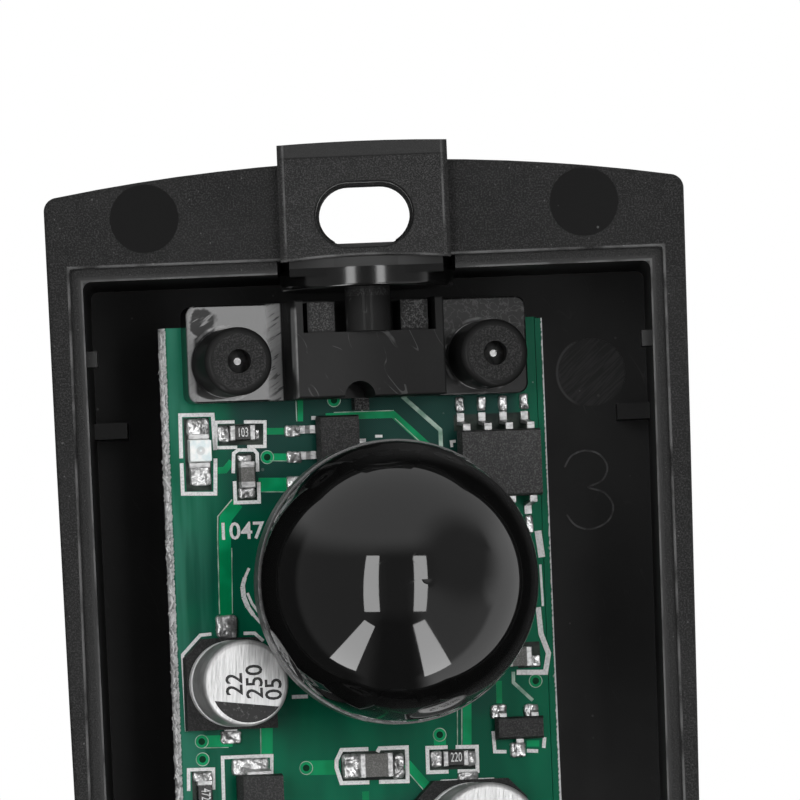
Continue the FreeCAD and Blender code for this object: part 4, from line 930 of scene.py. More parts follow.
def paint_base(graph: FinishGraph) -> None:
    """Plain black moulding of capacitor bases, the lens holder and the terminal block.

    Args:
        graph: The material's graph.
    """
    flecks, pores = graph.grain(0.00011)
    colour = graph.mix(graph.times(flecks, 0.7), grey(0.13), grey(0.24))
    graph.surface(colour, graph.mixed(flecks, 0.5, 0.62), pores, 0.00005,
                  Specular_IOR_Level=0.15)


def paint_indicator_base(graph: FinishGraph) -> None:
    """White laminate with a faint green cast at its edges.

    Args:
        graph: The material's graph.
    """
    cloud = graph.noise(graph.place, 1500.0, 3.0)
    colour = graph.mix(cloud, rgb(0.8, 0.83, 0.82), rgb(0.92, 0.93, 0.92))
    graph.surface(colour, graph.mixed(cloud, 0.4, 0.55), cloud, 0.00002)


def paint_indicator_window(graph: FinishGraph) -> None:
    """Milky window over the die, with the die's small dark spot.

    Args:
        graph: The material's graph.
    """
    vector, x, _, z = graph.millimetres(True)
    spot = graph.distance(graph.add(x, 9.3), graph.minus(z, 14.87))
    cloud = graph.step(graph.noise(vector, 2.0, 2.0), 0.3, 0.7)
    colour = graph.mix(cloud, rgb(0.78, 0.84, 0.85), rgb(0.93, 0.93, 0.92))
    colour = graph.mix(graph.times(graph.near(spot, 0.16, 0.14), 0.55), colour, grey(0.55))
    graph.surface(colour, graph.mixed(graph.step(spot, 0.5, 0.1), 0.3, 0.2))


def paint_emitter(graph: FinishGraph) -> None:
    """Tinted clear epoxy of the emitter.

    Args:
        graph: The material's graph.
    """
    cloud = graph.noise(graph.place, 700.0, 2.0)
    colour = graph.mix(cloud, rgb(0.2, 0.24, 0.34), rgb(0.3, 0.35, 0.46))
    graph.surface(colour, graph.mixed(cloud, 0.05, 0.14), Coat_Weight=0.4)


def paint_can(graph: FinishGraph) -> None:
    """Brushed aluminium can: streaked bright top, duller side, and a painted highlight on the bead below the
    neck.

    Args:
        graph: The material's graph.
    """
    vector, _, y, _ = graph.millimetres(True)
    top = graph.step(y, -0.3, -0.36)
    streak = graph.noise(graph.stretch(vector, (7.0, 1.0, 0.7), -0.08), 1.0, 3.0)
    colour = graph.mix(graph.step(streak, 0.3, 0.62), grey(0.66), grey(0.75))
    side = graph.mix(graph.step(graph.noise(vector, 1.2, 2.0), 0.35, 0.65), grey(0.52), grey(0.62))
    # painted highlight: the bead is painted near white, where light catches its rolled edge
    bead = graph.step(y, 3.28, 3.34)
    side = graph.mix(graph.times(bead, 0.9), side, grey(0.96))
    colour = graph.mix(top, side, colour)
    rough = graph.mixed(top, 0.4, graph.mixed(streak, 0.34, 0.5))
    graph.surface(colour, rough, streak, 0.00003, Metallic=graph.mixed(top, 0.05, 0.72))


def paint_ink(graph: FinishGraph) -> None:
    """Black ink that has worn a little.

    Args:
        graph: The material's graph.
    """
    fine = graph.noise(graph.place, 5200.0, 3.0)
    colour = graph.mix(graph.step(fine, 0.56, 0.74), grey(0.17), grey(0.34))
    graph.surface(colour, graph.mixed(fine, 0.5, 0.65), fine, 0.00001, Specular_IOR_Level=0.2)


def paint_hole(graph: FinishGraph) -> None:
    """Dark inside of a plated hole.

    Args:
        graph: The material's graph.
    """
    cloud = graph.noise(graph.place, 3000.0, 2.0)
    colour = graph.mix(cloud, rgb(0.0, 0.1, 0.06), rgb(0.02, 0.24, 0.15))
    graph.surface(colour, graph.mixed(cloud, 0.4, 0.6), Specular_IOR_Level=0.06)


def paint_shade_patches(graph: FinishGraph) -> None:
    """Painted shade: dark patches round the soldered parts and between the amplifier's leads.

    Args:
        graph: The material's graph.
    """
    cloud = graph.noise(graph.place, 1300.0, 3.0)
    colour = graph.mix(graph.step(cloud, 0.35, 0.7), rgb(0.05, 0.09, 0.08), rgb(0.2, 0.23, 0.21))
    graph.surface(colour, graph.mixed(cloud, 0.3, 0.5), cloud, 0.00002, Specular_IOR_Level=0.1)


def paint_mould_line(graph: FinishGraph) -> None:
    """The raised digit on the tub's floor.

    Args:
        graph: The material's graph.
    """
    cloud = graph.noise(graph.place, 1600.0, 2.0)
    colour = graph.mix(graph.step(cloud, 0.3, 0.7), grey(0.13), grey(0.3))
    graph.surface(colour, graph.mixed(cloud, 0.3, 0.45), cloud, 0.00002, Specular_IOR_Level=0.3)


def paint_fibre(graph: FinishGraph) -> None:
    """Torn glass fibre and resin.

    Args:
        graph: The material's graph.
    """
    fine = graph.noise(graph.place, 2600.0, 3.0)
    colour = graph.mix(graph.step(fine, 0.34, 0.54), grey(0.66), grey(0.83))
    graph.surface(colour, graph.mixed(fine, 0.7, 0.9), fine, 0.00004, Specular_IOR_Level=0.2)


def paint_floor(graph: FinishGraph) -> None:
    """Pale board with a slight mottle, which the camera sees a little brighter than the lamps light it.

    Args:
        graph: The material's graph.
    """
    cloud = graph.noise(graph.place, 30.0, 3.0)
    seen = graph.node("ShaderNodeLightPath").outputs["Is Camera Ray"]
    graph.surface(graph.mix(cloud, grey(0.93), grey(0.96)), 0.9, Specular_IOR_Level=0.0,
                  Emission_Color=WHITE, Emission_Strength=graph.times(seen, 0.38))


def paint_panel(graph: FinishGraph) -> None:
    """An evenly glowing sheet, a little stronger in places.

    Args:
        graph: The material's graph.
    """
    cloud = graph.noise(graph.place, 6.0, 1.0)
    glow = graph.mix(cloud, (0.94, 0.94, 0.94, 1.0), WHITE)
    graph.surface((0.0, 0.0, 0.0, 1.0), 1.0, Emission_Color=glow, Emission_Strength=7.2)


HOUSING = Finish("housing_plastic", paint_housing)
BRACKET = Finish("bracket_plastic", paint_bracket)
CARRIER = Finish("carrier_plastic", paint_carrier)
BOARD = Finish("board_green", paint_board)
TRACK = Finish("board_track", paint_track)
TRACK_HIGHLIGHT = Finish("board_track_highlight", paint_track_highlight)
PRINT = Finish("board_print", paint_print)
SOLDER = Finish("solder", paint_solder)
TINNED = Finish("tinned_metal", paint_tinned)
STEEL = Finish("screw_steel", paint_steel)
LENS = Finish("lens_black", paint_lens)
PACKAGE = Finish("package_plastic", package_paint(0.2, 0.325))
SMALL_PACKAGE = Finish("small_package_plastic", package_paint(0.16, 0.27))
RESISTOR = Finish("resistor_black", paint_resistor)
CERAMIC = Finish("ceramic_grey", paint_ceramic)
BASE = Finish("plain_black", paint_base)
INDICATOR_BASE = Finish("indicator_white", paint_indicator_base)
INDICATOR_WINDOW = Finish("indicator_clear", paint_indicator_window)
EMITTER = Finish("emitter_clear", paint_emitter)
CAN = Finish("can_aluminium", paint_can)
INK = Finish("printing_ink", paint_ink)
HOLE = Finish("plated_hole", paint_hole)
SHADE_PATCH = Finish("painted_shade", paint_shade_patches)
MOULD_LINE = Finish("mould_line", paint_mould_line)
FIBRE = Finish("torn_fibre", paint_fibre)
FLOOR = Finish("floor_pale", paint_floor)
PANEL = Finish("panel_light", paint_panel)

NODE_FINISHES: dict[str, Finish] = {
    "rear_housing": HOUSING,
    "top_bearing_bracket": BRACKET,
    "bottom_bearing_bracket": BRACKET,
    "upper_carrier": CARRIER,
    "lower_carrier": CARRIER,
    "circuit_board": BOARD,
    "board_screws": STEEL,
    "lens_holder": BASE,
    "lens": LENS,
    "ir_emitter": EMITTER,
    "emitter_leads": TINNED,
    "indicator_base": INDICATOR_BASE,
    "indicator_window": INDICATOR_WINDOW,
    "amplifier_chip": PACKAGE,
    "amplifier_leads": TINNED,
    "voltage_regulator": SMALL_PACKAGE,
    "regulator_leads": TINNED,
    "transistor": SMALL_PACKAGE,
    "transistor_leads": TINNED,
    "protection_diode": SMALL_PACKAGE,
    "diode_leads": TINNED,
    "small_capacitor_base": BASE,
    "small_capacitor_can": CAN,
    "large_capacitor_base": BASE,
    "large_capacitor_can": CAN,
    "capacitor_terminals": TINNED,
    "chip_resistors": RESISTOR,
    "chip_capacitors": CERAMIC,
    "chip_end_caps": TINNED,
    "terminal_block": BASE,
    "terminal_clamps": TINNED,
    "terminal_screws": STEEL,
    "terminal_pins": TINNED,
}


def dress_nodes() -> None:
    """Give every CAD node its finish."""
    for name, finish in NODE_FINISHES.items():
        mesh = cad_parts[name].data
        mesh.materials.clear()
        mesh.materials.append(finish.material())
        log.info("dressed %s", name)


def board_matrix() -> Matrix:
    """From the board's plane to the world.

    Returns:
        A matrix that takes x across the board, y up it and z out of its front, in millimetres.
    """
    turn = Matrix.Translation((0.0, HEAD_DEPTH, 0.0)) @ Matrix.Rotation(HEAD_TURN, 4, "Z")
    axes = Matrix(((1, 0, 0, 0), (0, 0, -1, BOARD_DEPTH), (0, 1, 0, 0), (0, 0, 0, 1)))
    return turn @ Matrix.Scale(MM, 4) @ axes


def add_block(mesh: bmesh.types.BMesh, outline: Sequence[Point2], low: float, high: float) -> None:
    """Add a straight-sided block to a mesh.

    Args:
        mesh: The mesh.
        outline: The block's closed outline, given counter-clockwise.
        low: Height of its underside.
        high: Height of its top.
    """
    base = [mesh.verts.new((x, y, low)) for x, y in outline]
    top = [mesh.verts.new((x, y, high)) for x, y in outline]
    mesh.faces.new(top)
    mesh.faces.new(base[::-1])
    count = len(outline)
    for i in range(count):
        j = (i + 1) % count
        mesh.faces.new((base[i], base[j], top[j], top[i]))


class MeshSketch:
    """Collects faces and turns them into one piece.

    Args:
        place: Matrix from the sketch's millimetres to the world.
    """

    def __init__(self, place: Matrix) -> None:
        """Start an empty sketch."""
        self.place = place
        self.mesh = bmesh.new()

    def prism(self, outline: Sequence[Point2], low: float, high: float) -> None:
        """A straight-sided block over a closed outline given counter-clockwise."""
        add_block(self.mesh, outline, low, high)

    def rounded(self, outline: Sequence[Point2], low: float, high: float, radius: float) -> None:
        """A straight-sided block with rounded edges.

        Args:
            outline: Its closed outline, given counter-clockwise.
            low: Height of its underside.
            high: Height of its top.
            radius: Radius of its edges.
        """
        block = bmesh.new()
        add_block(block, outline, low, high)
        bmesh.ops.bevel(block, geom=block.edges[:], offset=radius, segments=3, profile=0.5, affect="EDGES")
        shaped = bpy.data.meshes.new("block")
        block.to_mesh(shaped)
        block.free()
        self.mesh.from_mesh(shaped)
        bpy.data.meshes.remove(shaped)

    def strip(self, points: Sequence[Point2], width: float, low: float, high: float) -> None:
        """A strip of constant width along a bent line, mitred at its bends.

        Args:
            points: The line.
            width: The strip's width.
            low: Height of its underside.
            high: Height of its top.
        """
        left, right = [], []
        count = len(points)
        for i, point in enumerate(points):
            here = Vector(point)
            before = (here - Vector(points[i - 1])).normalized() if i > 0 else None
            after = (Vector(points[i + 1]) - here).normalized() if i < count - 1 else None
            first = before or after
            second = after or before
            normal = Vector((-(first + second).y, (first + second).x)).normalized()
            reach = width / 2 / max(0.5, normal.dot(Vector((-first.y, first.x))))
            left.append(tuple(here + normal * reach))
            right.append(tuple(here - normal * reach))
        for i in range(count - 1):
            self.prism((right[i], right[i + 1], left[i + 1], left[i]), low, high)

    def ring(self, centre: Point2, inner: float, outer: float, low: float, high: float) -> None:
        """A flat ring, or a disc when inner is zero.

        Args:
            centre: Its centre.
            inner: Radius of its hole.
            outer: Its outer radius.
            low: Height of its underside.
            high: Height of its top.
        """
        angles = [2 * math.pi * i / RING_SIDES for i in range(RING_SIDES)]

        def circle(radius: float) -> list[Point2]:
            """Points round the centre."""
            return [(centre[0] + radius * math.cos(a), centre[1] + radius * math.sin(a)) for a in angles]

        if inner <= 0:
            self.prism(circle(outer), low, high)
            return
        corners = []
        for level in (low, high):
            for radius in (inner, outer):
                corners.append([self.mesh.verts.new((x, y, level)) for x, y in circle(radius)])
        low_in, low_out, high_in, high_out = corners
        for i in range(RING_SIDES):
            j = (i + 1) % RING_SIDES
            self.mesh.faces.new((high_in[i], high_out[i], high_out[j], high_in[j]))
            self.mesh.faces.new((low_in[j], low_out[j], low_out[i], low_in[i]))
            self.mesh.faces.new((low_out[i], low_out[j], high_out[j], high_out[i]))
            self.mesh.faces.new((low_in[j], low_in[i], high_in[i], high_in[j]))

    def finish(self, name: str, body: str, finish: Finish) -> bpy.types.Object:
        """Make the piece.

        Args:
            name: The piece's name.
            body: The body that it rides.
            finish: Its finish.

        Returns:
            The piece.
        """
        self.mesh.transform(self.place)
        bmesh.ops.recalc_face_normals(self.mesh, faces=self.mesh.faces)
        data = bpy.data.meshes.new(name)
        self.mesh.to_mesh(data)
        self.mesh.free()
        return publish(name, data, body, finish)


def publish(name: str, data: bpy.types.Mesh, body: str, finish: Finish,
            smooth: bool = False) -> bpy.types.Object:
    """Put a mesh into the scene as a piece.

    Args:
        name: The piece's name.
        data: Its mesh, already in place.
        body: The body that it rides.
        finish: Its finish.
        smooth: True for smooth shading.

    Returns:
        The piece.
    """
    for polygon in data.polygons:
        polygon.use_smooth = smooth
    data.materials.clear()
    data.materials.append(finish.material())
    piece = bpy.data.objects.new(name, data)
    bpy.context.scene.collection.objects.link(piece)
    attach(piece, body)
    log.info("made %s with %d faces", name, len(data.polygons))
    return piece


@dataclass(frozen=True)
class Lettering:
    """A short line of plain figures that lies on a surface of the head."""

    words: str
    centre: Point2
    height: float
    turn: float = 0.0
    lift: float = 0.0
    stretch: float = 1.0
    bold: float = 0.0


def lettering_mesh(lines: Sequence[Lettering], name: str, thickness: float) -> bpy.types.Mesh:
    """Flat figures as one mesh.

    Args:
        lines: What to write, and where on the board.
        name: The mesh's name.
        thickness: How far the figures stand out, in millimetres.

    Returns:
        The mesh, in the world's place.
    """
    joined = bmesh.new()
    for line in lines:
        curve = bpy.data.curves.new(name + "_text", "FONT")
        curve.body = line.words
        curve.size = line.height * FONT_RATIO
        curve.align_x = "CENTER"
        curve.align_y = "CENTER"
        curve.resolution_u = 3
        curve.extrude = thickness / 2
        curve.offset = line.bold
        holder = bpy.data.objects.new(name + "_text", curve)
        bpy.context.scene.collection.objects.link(holder)
        bpy.context.view_layer.update()
        flat = bpy.data.meshes.new_from_object(holder.evaluated_get(bpy.context.evaluated_depsgraph_get()))
        local = Matrix.Translation((*line.centre, line.lift + thickness / 2))
        local = local @ Matrix.Rotation(math.radians(line.turn), 4, "Z")
        local = local @ Matrix.Diagonal((line.stretch, 1.0, 1.0, 1.0))
        flat.transform(board_matrix() @ local)
        joined.from_mesh(flat)
        bpy.data.objects.remove(holder)
        bpy.data.meshes.remove(flat)
        bpy.data.curves.remove(curve)
    data = bpy.data.meshes.new(name)
    joined.to_mesh(data)
    joined.free()
    return data


@dataclass
class BoardArtwork:
    """Tracks, holes and screen print on the board's front."""

    margin_low: float = -1.48
    margin_high: float = 0.004
    shade_patch_height: float = 0.012
    track_height: float = 0.018
    hole_height: float = 0.021
    ring_height: float = 0.024
    shoulder_height: float = 0.026
    ring_shoulder_height: float = 0.028
    print_height: float = 0.03
    ring_inner: float = 0.2
    ring_outer: float = 0.36
    ring_shoulder: float = 0.04
    tracks: Sequence[Stripe] = (
        (0.38, ((-5.3, 15.88), (-3.98, 15.85))),
        (0.42, ((-5.25, 14.38), (-3.98, 14.34))),
        (0.8, ((-5.82, 12.8), (-3.86, 12.74))),
        (0.38, ((-8.22, 13.7), (-7.77, 13.72), (-7.35, 14.2))),
        (0.72, ((-7.1, 11.78), (-7.84, 10.93), (-7.93, 9.88), (-8.04, 5.2))),
        (0.33, ((-3.14, 18.2), (-3.21, 16.39))),
        (0.4, ((-1.69, 16.61), (2.32, 16.61), (4.3, 14.72))),
        (0.72, ((4.33, -2.2), (4.33, -2.9))),
        (0.52, ((6.05, 0.3), (5.94, -2.8))),
        (0.84, ((-3.66, -3.7), (-1.75, -3.74))),
        (0.52, ((2.3, -3.66), (3.95, -5.66))),
        (0.68, ((-9.76, -1.93), (-7.95, -1.96))),
        (0.66, ((-5.87, -1.1), (-5.94, -2.9))),
        (0.36, ((9.5, -2.8), (10.24, -2.83))),
        (0.34, ((7.98, 0.9), (7.95, -0.4))),
        (0.9, ((-6.95, -9.2), (-6.95, -10.6))),
        (0.6, ((3.0, -12.0), (0.2, -14.6), (-2.6, -14.6))),
        (0.4, ((-0.2, -5.2), (-0.2, -13.0), (-2.2, -15.6))),
    )
    # painted highlights along the mask's shoulders by the tracks
    track_highlights: Sequence[Stripe] = (
        (0.24, ((2.5, 18.02), (5.08, 15.61), (5.08, 14.4))),
        (0.2, ((8.86, 1.4), (8.84, 0.77), (9.95, -0.31))),
        (0.05, ((-3.42, 18.2), (-3.42, 16.4))),
        (0.06, ((-7.42, 12.0), (-8.3, 11.05), (-8.36, 9.88), (-8.42, 5.4))),
        (0.05, ((-7.55, 9.2), (-7.66, 5.4))),
        (0.05, ((-1.2, 16.84), (2.36, 16.84))),
        (0.05, ((2.4, 16.38), (4.1, 14.72))),
        (0.06, ((5.73, 0.0), (5.62, -2.8))),
        (0.05, ((5.45, -0.4), (5.36, -2.8))),
        (0.05, ((-6.26, -1.3), (-6.3, -2.85))),
        (0.05, ((2.05, -3.8), (3.6, -5.7))),
        (0.04, ((-9.7, -2.3), (-8.2, -2.33))),
        (0.04, ((-5.1, 14.16), (-4.0, 14.12))),
        (0.04, ((-5.7, 12.38), (-3.9, 12.32))),
    )
    holes: Sequence[Point2] = ((-5.25, 14.38), (-1.17, 17.55), (10.17, 0.82), (4.33, -2.09), (-3.66, -3.7),
                               (-9.76, -1.93), (-9.75, -2.96), (0.2, -14.6))
    prints: Sequence[Stripe] = (
        (0.22, ((-10.32, 14.48), (-10.29, 16.98), (-8.37, 16.95), (-8.31, 14.9))),
        (0.22, ((-10.31, 14.2), (-10.31, 12.43), (-8.39, 12.37), (-8.31, 14.41))),
        (0.19, ((-7.1, 16.49), (-8.2, 16.5), (-8.26, 15.03), (-7.0, 15.01))),
        (0.19, ((-6.54, 16.47), (-5.3, 16.43), (-5.36, 15.01), (-6.4, 15.03))),
        (0.2, ((-7.29, 13.52), (-7.22, 14.66), (-6.95, 14.85), (-6.0, 14.82), (-5.83, 14.61),
               (-5.85, 13.57))),
        (0.21, ((-7.23, 13.05), (-7.23, 11.81), (-5.83, 11.81), (-5.81, 12.95))),
        (0.22, ((-2.55, 16.56), (-2.17, 16.55))),
        (0.16, ((1.19, 15.38), (1.62, 15.37))),
        (0.16, ((5.96, 14.93), (5.7, 14.91), (5.74, 14.59))),
        (0.19, ((-8.95, 4.26), (-9.6, 4.22), (-10.69, 3.12), (-10.62, -1.31))),
        (0.19, ((-7.05, 4.23), (-6.4, 4.22), (-5.9, 3.75))),
        (0.22, ((-4.34, 0.44), (-3.4, 0.44))),
        (0.2, ((-8.6, -5.5), (-8.57, -2.9), (-5.67, -2.91), (-5.72, -4.05))),
        (0.2, ((-8.6, -6.9), (-8.6, -9.2), (-5.7, -9.2), (-5.7, -6.9))),
        (0.2, ((-10.64, -4.75), (-10.6, -3.53), (-9.14, -3.55), (-9.17, -4.73))),
        (0.2, ((-10.64, -5.4), (-10.6, -6.6), (-9.14, -6.6), (-9.14, -5.4))),
        (0.23, ((0.06, -2.75), (-1.53, -2.74), (-1.85, -3.35), (-1.87, -3.77), (-1.61, -4.66),
                (0.04, -4.68))),
        (0.23, ((0.59, -2.95), (0.72, -2.74), (2.34, -2.74), (2.32, -4.71), (0.62, -4.68))),
        (0.22, ((4.77, -2.83), (3.56, -2.82), (3.55, -4.24), (4.77, -4.25))),
        (0.22, ((5.25, -2.84), (6.51, -2.87), (6.49, -4.28), (5.31, -4.25))),
        (0.2, ((7.52, -2.01), (7.57, -3.2), (8.26, -3.23))),
        (0.21, ((10.57, -2.48), (10.49, -3.1))),
        (0.21, ((10.15, -3.27), (9.48, -3.22))),
        (0.3, ((10.5, 5.1), (10.6, 3.55), (11.0, 2.4), (10.78, 1.3), (9.06, 1.36))),
        (0.4, ((10.66, 9.55), (10.83, 8.0))),
        (0.14, ((10.72, 7.58), (10.78, 5.15))),
        (0.17, ((2.5, -6.35), (4.33, -4.79), (7.4, -4.79), (9.25, -6.35), (9.25, -11.4), (2.5, -11.4),
                (2.5, -6.35))),
        (0.18, ((-10.95, -9.4), (-3.5, -9.4), (-3.5, -17.3), (-10.95, -17.3))),
    )
    margin: Sequence[Point2] = ((10.96, -21.95), (11.5, -21.95), (11.44, -6.0), (11.39, 3.0), (11.39, 21.95),
                                (10.96, 21.95))
    # painted shade: dark patches round the soldered parts and between the amplifier's leads
    shade_patches: Sequence[Stripe] = (
        (1.5, ((9.15, 2.34), (10.5, 2.36))),
        (1.5, ((-9.36, 16.8), (-9.33, 12.56))),
        (1.22, ((-8.08, 15.76), (-5.46, 15.73))),
        (1.12, ((-6.54, 14.66), (-6.52, 11.93))),
        (0.95, ((5.9, 15.98), (10.45, 16.02))),
        (1.16, ((3.68, -3.54), (6.38, -3.56))),
        (1.7, ((-1.6, -3.71), (2.22, -3.72))),
        (1.1, ((-9.88, -3.65), (-9.86, -6.45))),
    )
    crescent: Sequence[Point2] = ((-6.57, 7.99), (-6.84, 7.45), (-7.0, 6.95), (-6.95, 6.33), (-6.74, 5.75),
                                  (-6.42, 5.27), (-6.01, 4.79))
    crescent_width: float = 0.12
    crescent_swell: float = 0.16
    crescent_stroke: Stripe = (0.15, ((-6.73, 6.56), (-6.48, 5.94), (-6.09, 5.38)))
    labels: Sequence[Lettering] = (
        Lettering("1047", (-6.98, 10.12), 1.0, bold=0.022),
        Lettering("1", (-2.4, -13.0), 0.9),
        Lettering("2", (-2.4, -16.0), 0.9),
        Lettering("+", (1.9, -6.6), 0.9),
    )

    def strips(self, name: str, lines: Sequence[Stripe], height: float, finish: Finish) -> None:
        """One piece from a list of widths and bent lines.

        Args:
            name: The piece's name.
            lines: The lines with their widths.
            height: How far they stand out from the board.
            finish: Their finish.
        """
        sketch = MeshSketch(board_matrix())
        for width, points in lines:
            sketch.strip(points, width, 0.0, height)
        sketch.finish(name, HEAD_BODY, finish)

    def rings(self, name: str, inner: float, outer: float, height: float, finish: Finish) -> None:
        """One piece with a ring, or a disc where inner is zero, round every plated hole.

        Args:
            name: The piece's name.
            inner: Radius of each ring's hole.
            outer: Each ring's outer radius.
            height: How far they stand out from the board.
            finish: Their finish.
        """
        sketch = MeshSketch(board_matrix())
        for centre in self.holes:
            sketch.ring(centre, inner, outer, 0.0, height)
        sketch.finish(name, HEAD_BODY, finish)

    def crescent_stripes(self) -> list[Stripe]:
        """The printed crescent as short stripes that are widest in the middle.

        Returns:
            The stripes, with the stroke inside the crescent.
        """
        count = len(self.crescent) - 1
        stripes = []
        for i in range(count):
            width = self.crescent_width + self.crescent_swell * math.sin(math.pi * (i + 0.5) / count)
            stripes.append((width, self.crescent[i:i + 2]))
        return [*stripes, self.crescent_stroke]

    def build(self) -> None:
        """Make the snapped margin, the painted shade, the tracks with painted highlights along their
        shoulders, the plated holes and the print.
        """
        border = MeshSketch(board_matrix())
        border.prism(self.margin, self.margin_low, self.margin_high)
        border.finish("board_snapped_margin", HEAD_BODY, BOARD)
        self.strips("board_painted_shade", self.shade_patches, self.shade_patch_height, SHADE_PATCH)
        self.strips("board_tracks", self.tracks, self.track_height, TRACK)
        self.strips("board_track_highlights", self.track_highlights, self.shoulder_height, TRACK_HIGHLIGHT)
        inner, outer = self.ring_inner, self.ring_outer
        rim = outer + self.ring_shoulder
        self.rings("board_hole_rings", inner, outer, self.ring_height, TRACK)
        self.rings("board_hole_highlights", outer, rim, self.ring_shoulder_height, TRACK_HIGHLIGHT)
        self.rings("board_plated_holes", 0.0, inner, self.hole_height, HOLE)
        marks = [*self.prints, *self.crescent_stripes()]
        self.strips("board_print_outlines", marks, self.print_height, PRINT)
        words = lettering_mesh(self.labels, "board_print_labels", self.print_height)
        publish("board_print_labels", words, HEAD_BODY, PRINT)


@dataclass(frozen=True)
class Segment:
    """The black segment at a can's lower side, with the can's centre and the segment's own radius.

    Its straight side lies at the distance cut from the centre, turned by tilt in degrees.
    """

    centre: Point2
    radius: float
    cut: float
    tilt: float

    def outline(self) -> list[Point2]:
        """Points along the segment's arc.

        Returns:
            The closed outline on the board.
        """
        half = math.acos(self.cut / self.radius)
        points = []
        for i in range(SEGMENT_STEPS + 1):
            angle = math.radians(self.tilt) - math.pi / 2 - half + 2 * half * i / SEGMENT_STEPS
            points.append((self.centre[0] + self.radius * math.cos(angle),
                           self.centre[1] + self.radius * math.sin(angle)))
        return points


@dataclass
class PartMarkings:
    """Plain figures printed on the parts."""

    film: float = 0.012
    codes: Sequence[Lettering] = (
        Lettering("103", (-6.71, 15.83), 0.56, lift=CHIP_TOP, stretch=0.58),
        Lettering("220", (5.17, -3.45), 0.56, lift=CHIP_TOP, stretch=0.6),
        Lettering("472", (-9.74, -4.98), 0.56, turn=-90.0, lift=CHIP_TOP, stretch=0.6),
    )
    figures: Sequence[Lettering] = (
        Lettering("22", (-8.73, 1.3), 1.0, turn=90.0, lift=CAN_TOP, stretch=0.95, bold=0.018),
        Lettering("250", (-7.55, 1.41), 1.0, turn=90.0, lift=CAN_TOP, stretch=0.96, bold=0.018),
        Lettering("05", (-6.45, 0.95), 1.0, turn=90.0, lift=CAN_TOP, stretch=0.95, bold=0.018),
        Lettering("47", (4.6, -7.35), 1.1, turn=90.0, lift=CAN_TOP, stretch=0.95, bold=0.018),
        Lettering("250", (6.0, -7.3), 1.1, turn=90.0, lift=CAN_TOP, stretch=0.92, bold=0.018),
        Lettering("05", (7.3, -7.15), 1.1, turn=90.0, lift=CAN_TOP, stretch=0.95, bold=0.018),
    )
    segments: Sequence[Segment] = (
        Segment((-7.95, 1.27), 2.2, 1.12, -7.0),
        Segment((5.9, -8.05), 2.8, 1.3, -5.0),
    )

    def build(self) -> None:
        """Make the codes and the cans' prints."""
        codes = lettering_mesh(self.codes, "resistor_codes", self.film)
        publish("resistor_codes", codes, HEAD_BODY, PRINT)
        figures = lettering_mesh(self.figures, "can_figures", self.film)
        publish("can_figures", figures, HEAD_BODY, INK)
        sketch = MeshSketch(board_matrix())
        for segment in self.segments:
            sketch.prism(segment.outline(), CAN_TOP, CAN_TOP + self.film)
        sketch.finish("can_segments", HEAD_BODY, INK)


class Lie(Enum):
    """Which way a chip part lies on the board."""

    ACROSS = 0
    UPRIGHT = 1


@dataclass(frozen=True)
class Chip:
    """A small part with an end cap at both ends: its place, its size and how it lies."""

    x: float
    z: float
    length: float
    width: float
    height: float
    cap: float
    lie: Lie

    def block(self, sketch: MeshSketch, start: float, end: float, swell: float) -> None:
        """A rounded block over part of the chip's length.

        Args:
            sketch: The sketch that gets it.
            start: Where it starts, from the chip's middle.
            end: Where it ends.
            swell: How much it stands out from the bare chip.
        """
        half = self.width / 2 + swell
        corners = ((start, -half), (end, -half), (end, half), (start, half))
        if self.lie is Lie.UPRIGHT:
            corners = tuple((-b, a) for a, b in corners)
        outline = [(self.x + a, self.z + b) for a, b in corners]
        sketch.rounded(outline, 0.0, self.height + swell, CHIP_ROUNDING)


@dataclass
class ChipParts:
    """The chip resistors and capacitors with their end caps, in the place of the plain ones."""

    swell: float = 0.02
    resistors: Sequence[Chip] = (
        Chip(-6.71, 15.83, 1.5, 0.85, 0.43, 0.32, Lie.ACROSS),
        Chip(5.17, -3.5, 1.5, 0.85, 0.43, 0.3, Lie.ACROSS),
        Chip(-9.74, -4.98, 1.6, 0.86, 0.43, 0.3, Lie.UPRIGHT),
    )
    capacitors: Sequence[Chip] = (
        Chip(-6.57, 13.4, 1.55, 0.82, 0.8, 0.38, Lie.UPRIGHT),
        Chip(0.32, -3.7, 1.95, 1.36, 1.05, 0.33, Lie.ACROSS),
        Chip(9.1, 2.27, 1.5, 1.1, 0.8, 0.35, Lie.ACROSS),
    )
    indicator: Chip = Chip(-9.3, 14.87, 2.0, 1.21, 0.33, 0.35, Lie.UPRIGHT)

    def bodies(self, name: str, chips: Sequence[Chip], finish: Finish) -> None:
        """The bare bodies between the end caps.

        Args:
            name: The piece's name.
            chips: The parts.
            finish: Their finish.
        """
        sketch = MeshSketch(board_matrix())
        for chip in chips:
            half = chip.length / 2 - chip.cap * 0.5
            chip.block(sketch, -half, half, 0.0)
        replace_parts(sketch.finish(name, HEAD_BODY, finish), name.replace("_bodies", "s"))

    def build(self) -> None:
        """Make the bodies and the caps."""
        self.bodies("chip_resistor_bodies", self.resistors, RESISTOR)
        self.bodies("chip_capacitor_bodies", self.capacitors, CERAMIC)
        sketch = MeshSketch(board_matrix())
        for chip in list(self.resistors) + list(self.capacitors) + [self.indicator]:
            far = chip.length / 2
            chip.block(sketch, -far, chip.cap - far, self.swell)
            chip.block(sketch, far - chip.cap, far, self.swell)
        caps = sketch.finish("plated_end_caps", HEAD_BODY, TINNED)
        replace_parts(caps, "chip_end_caps")


@dataclass(frozen=True)
class Joint:
    """One solder joint: its centre on the board, its width, its length and its height."""

    x: float
    z: float
    width: float
    length: float
    height: float = 0.28


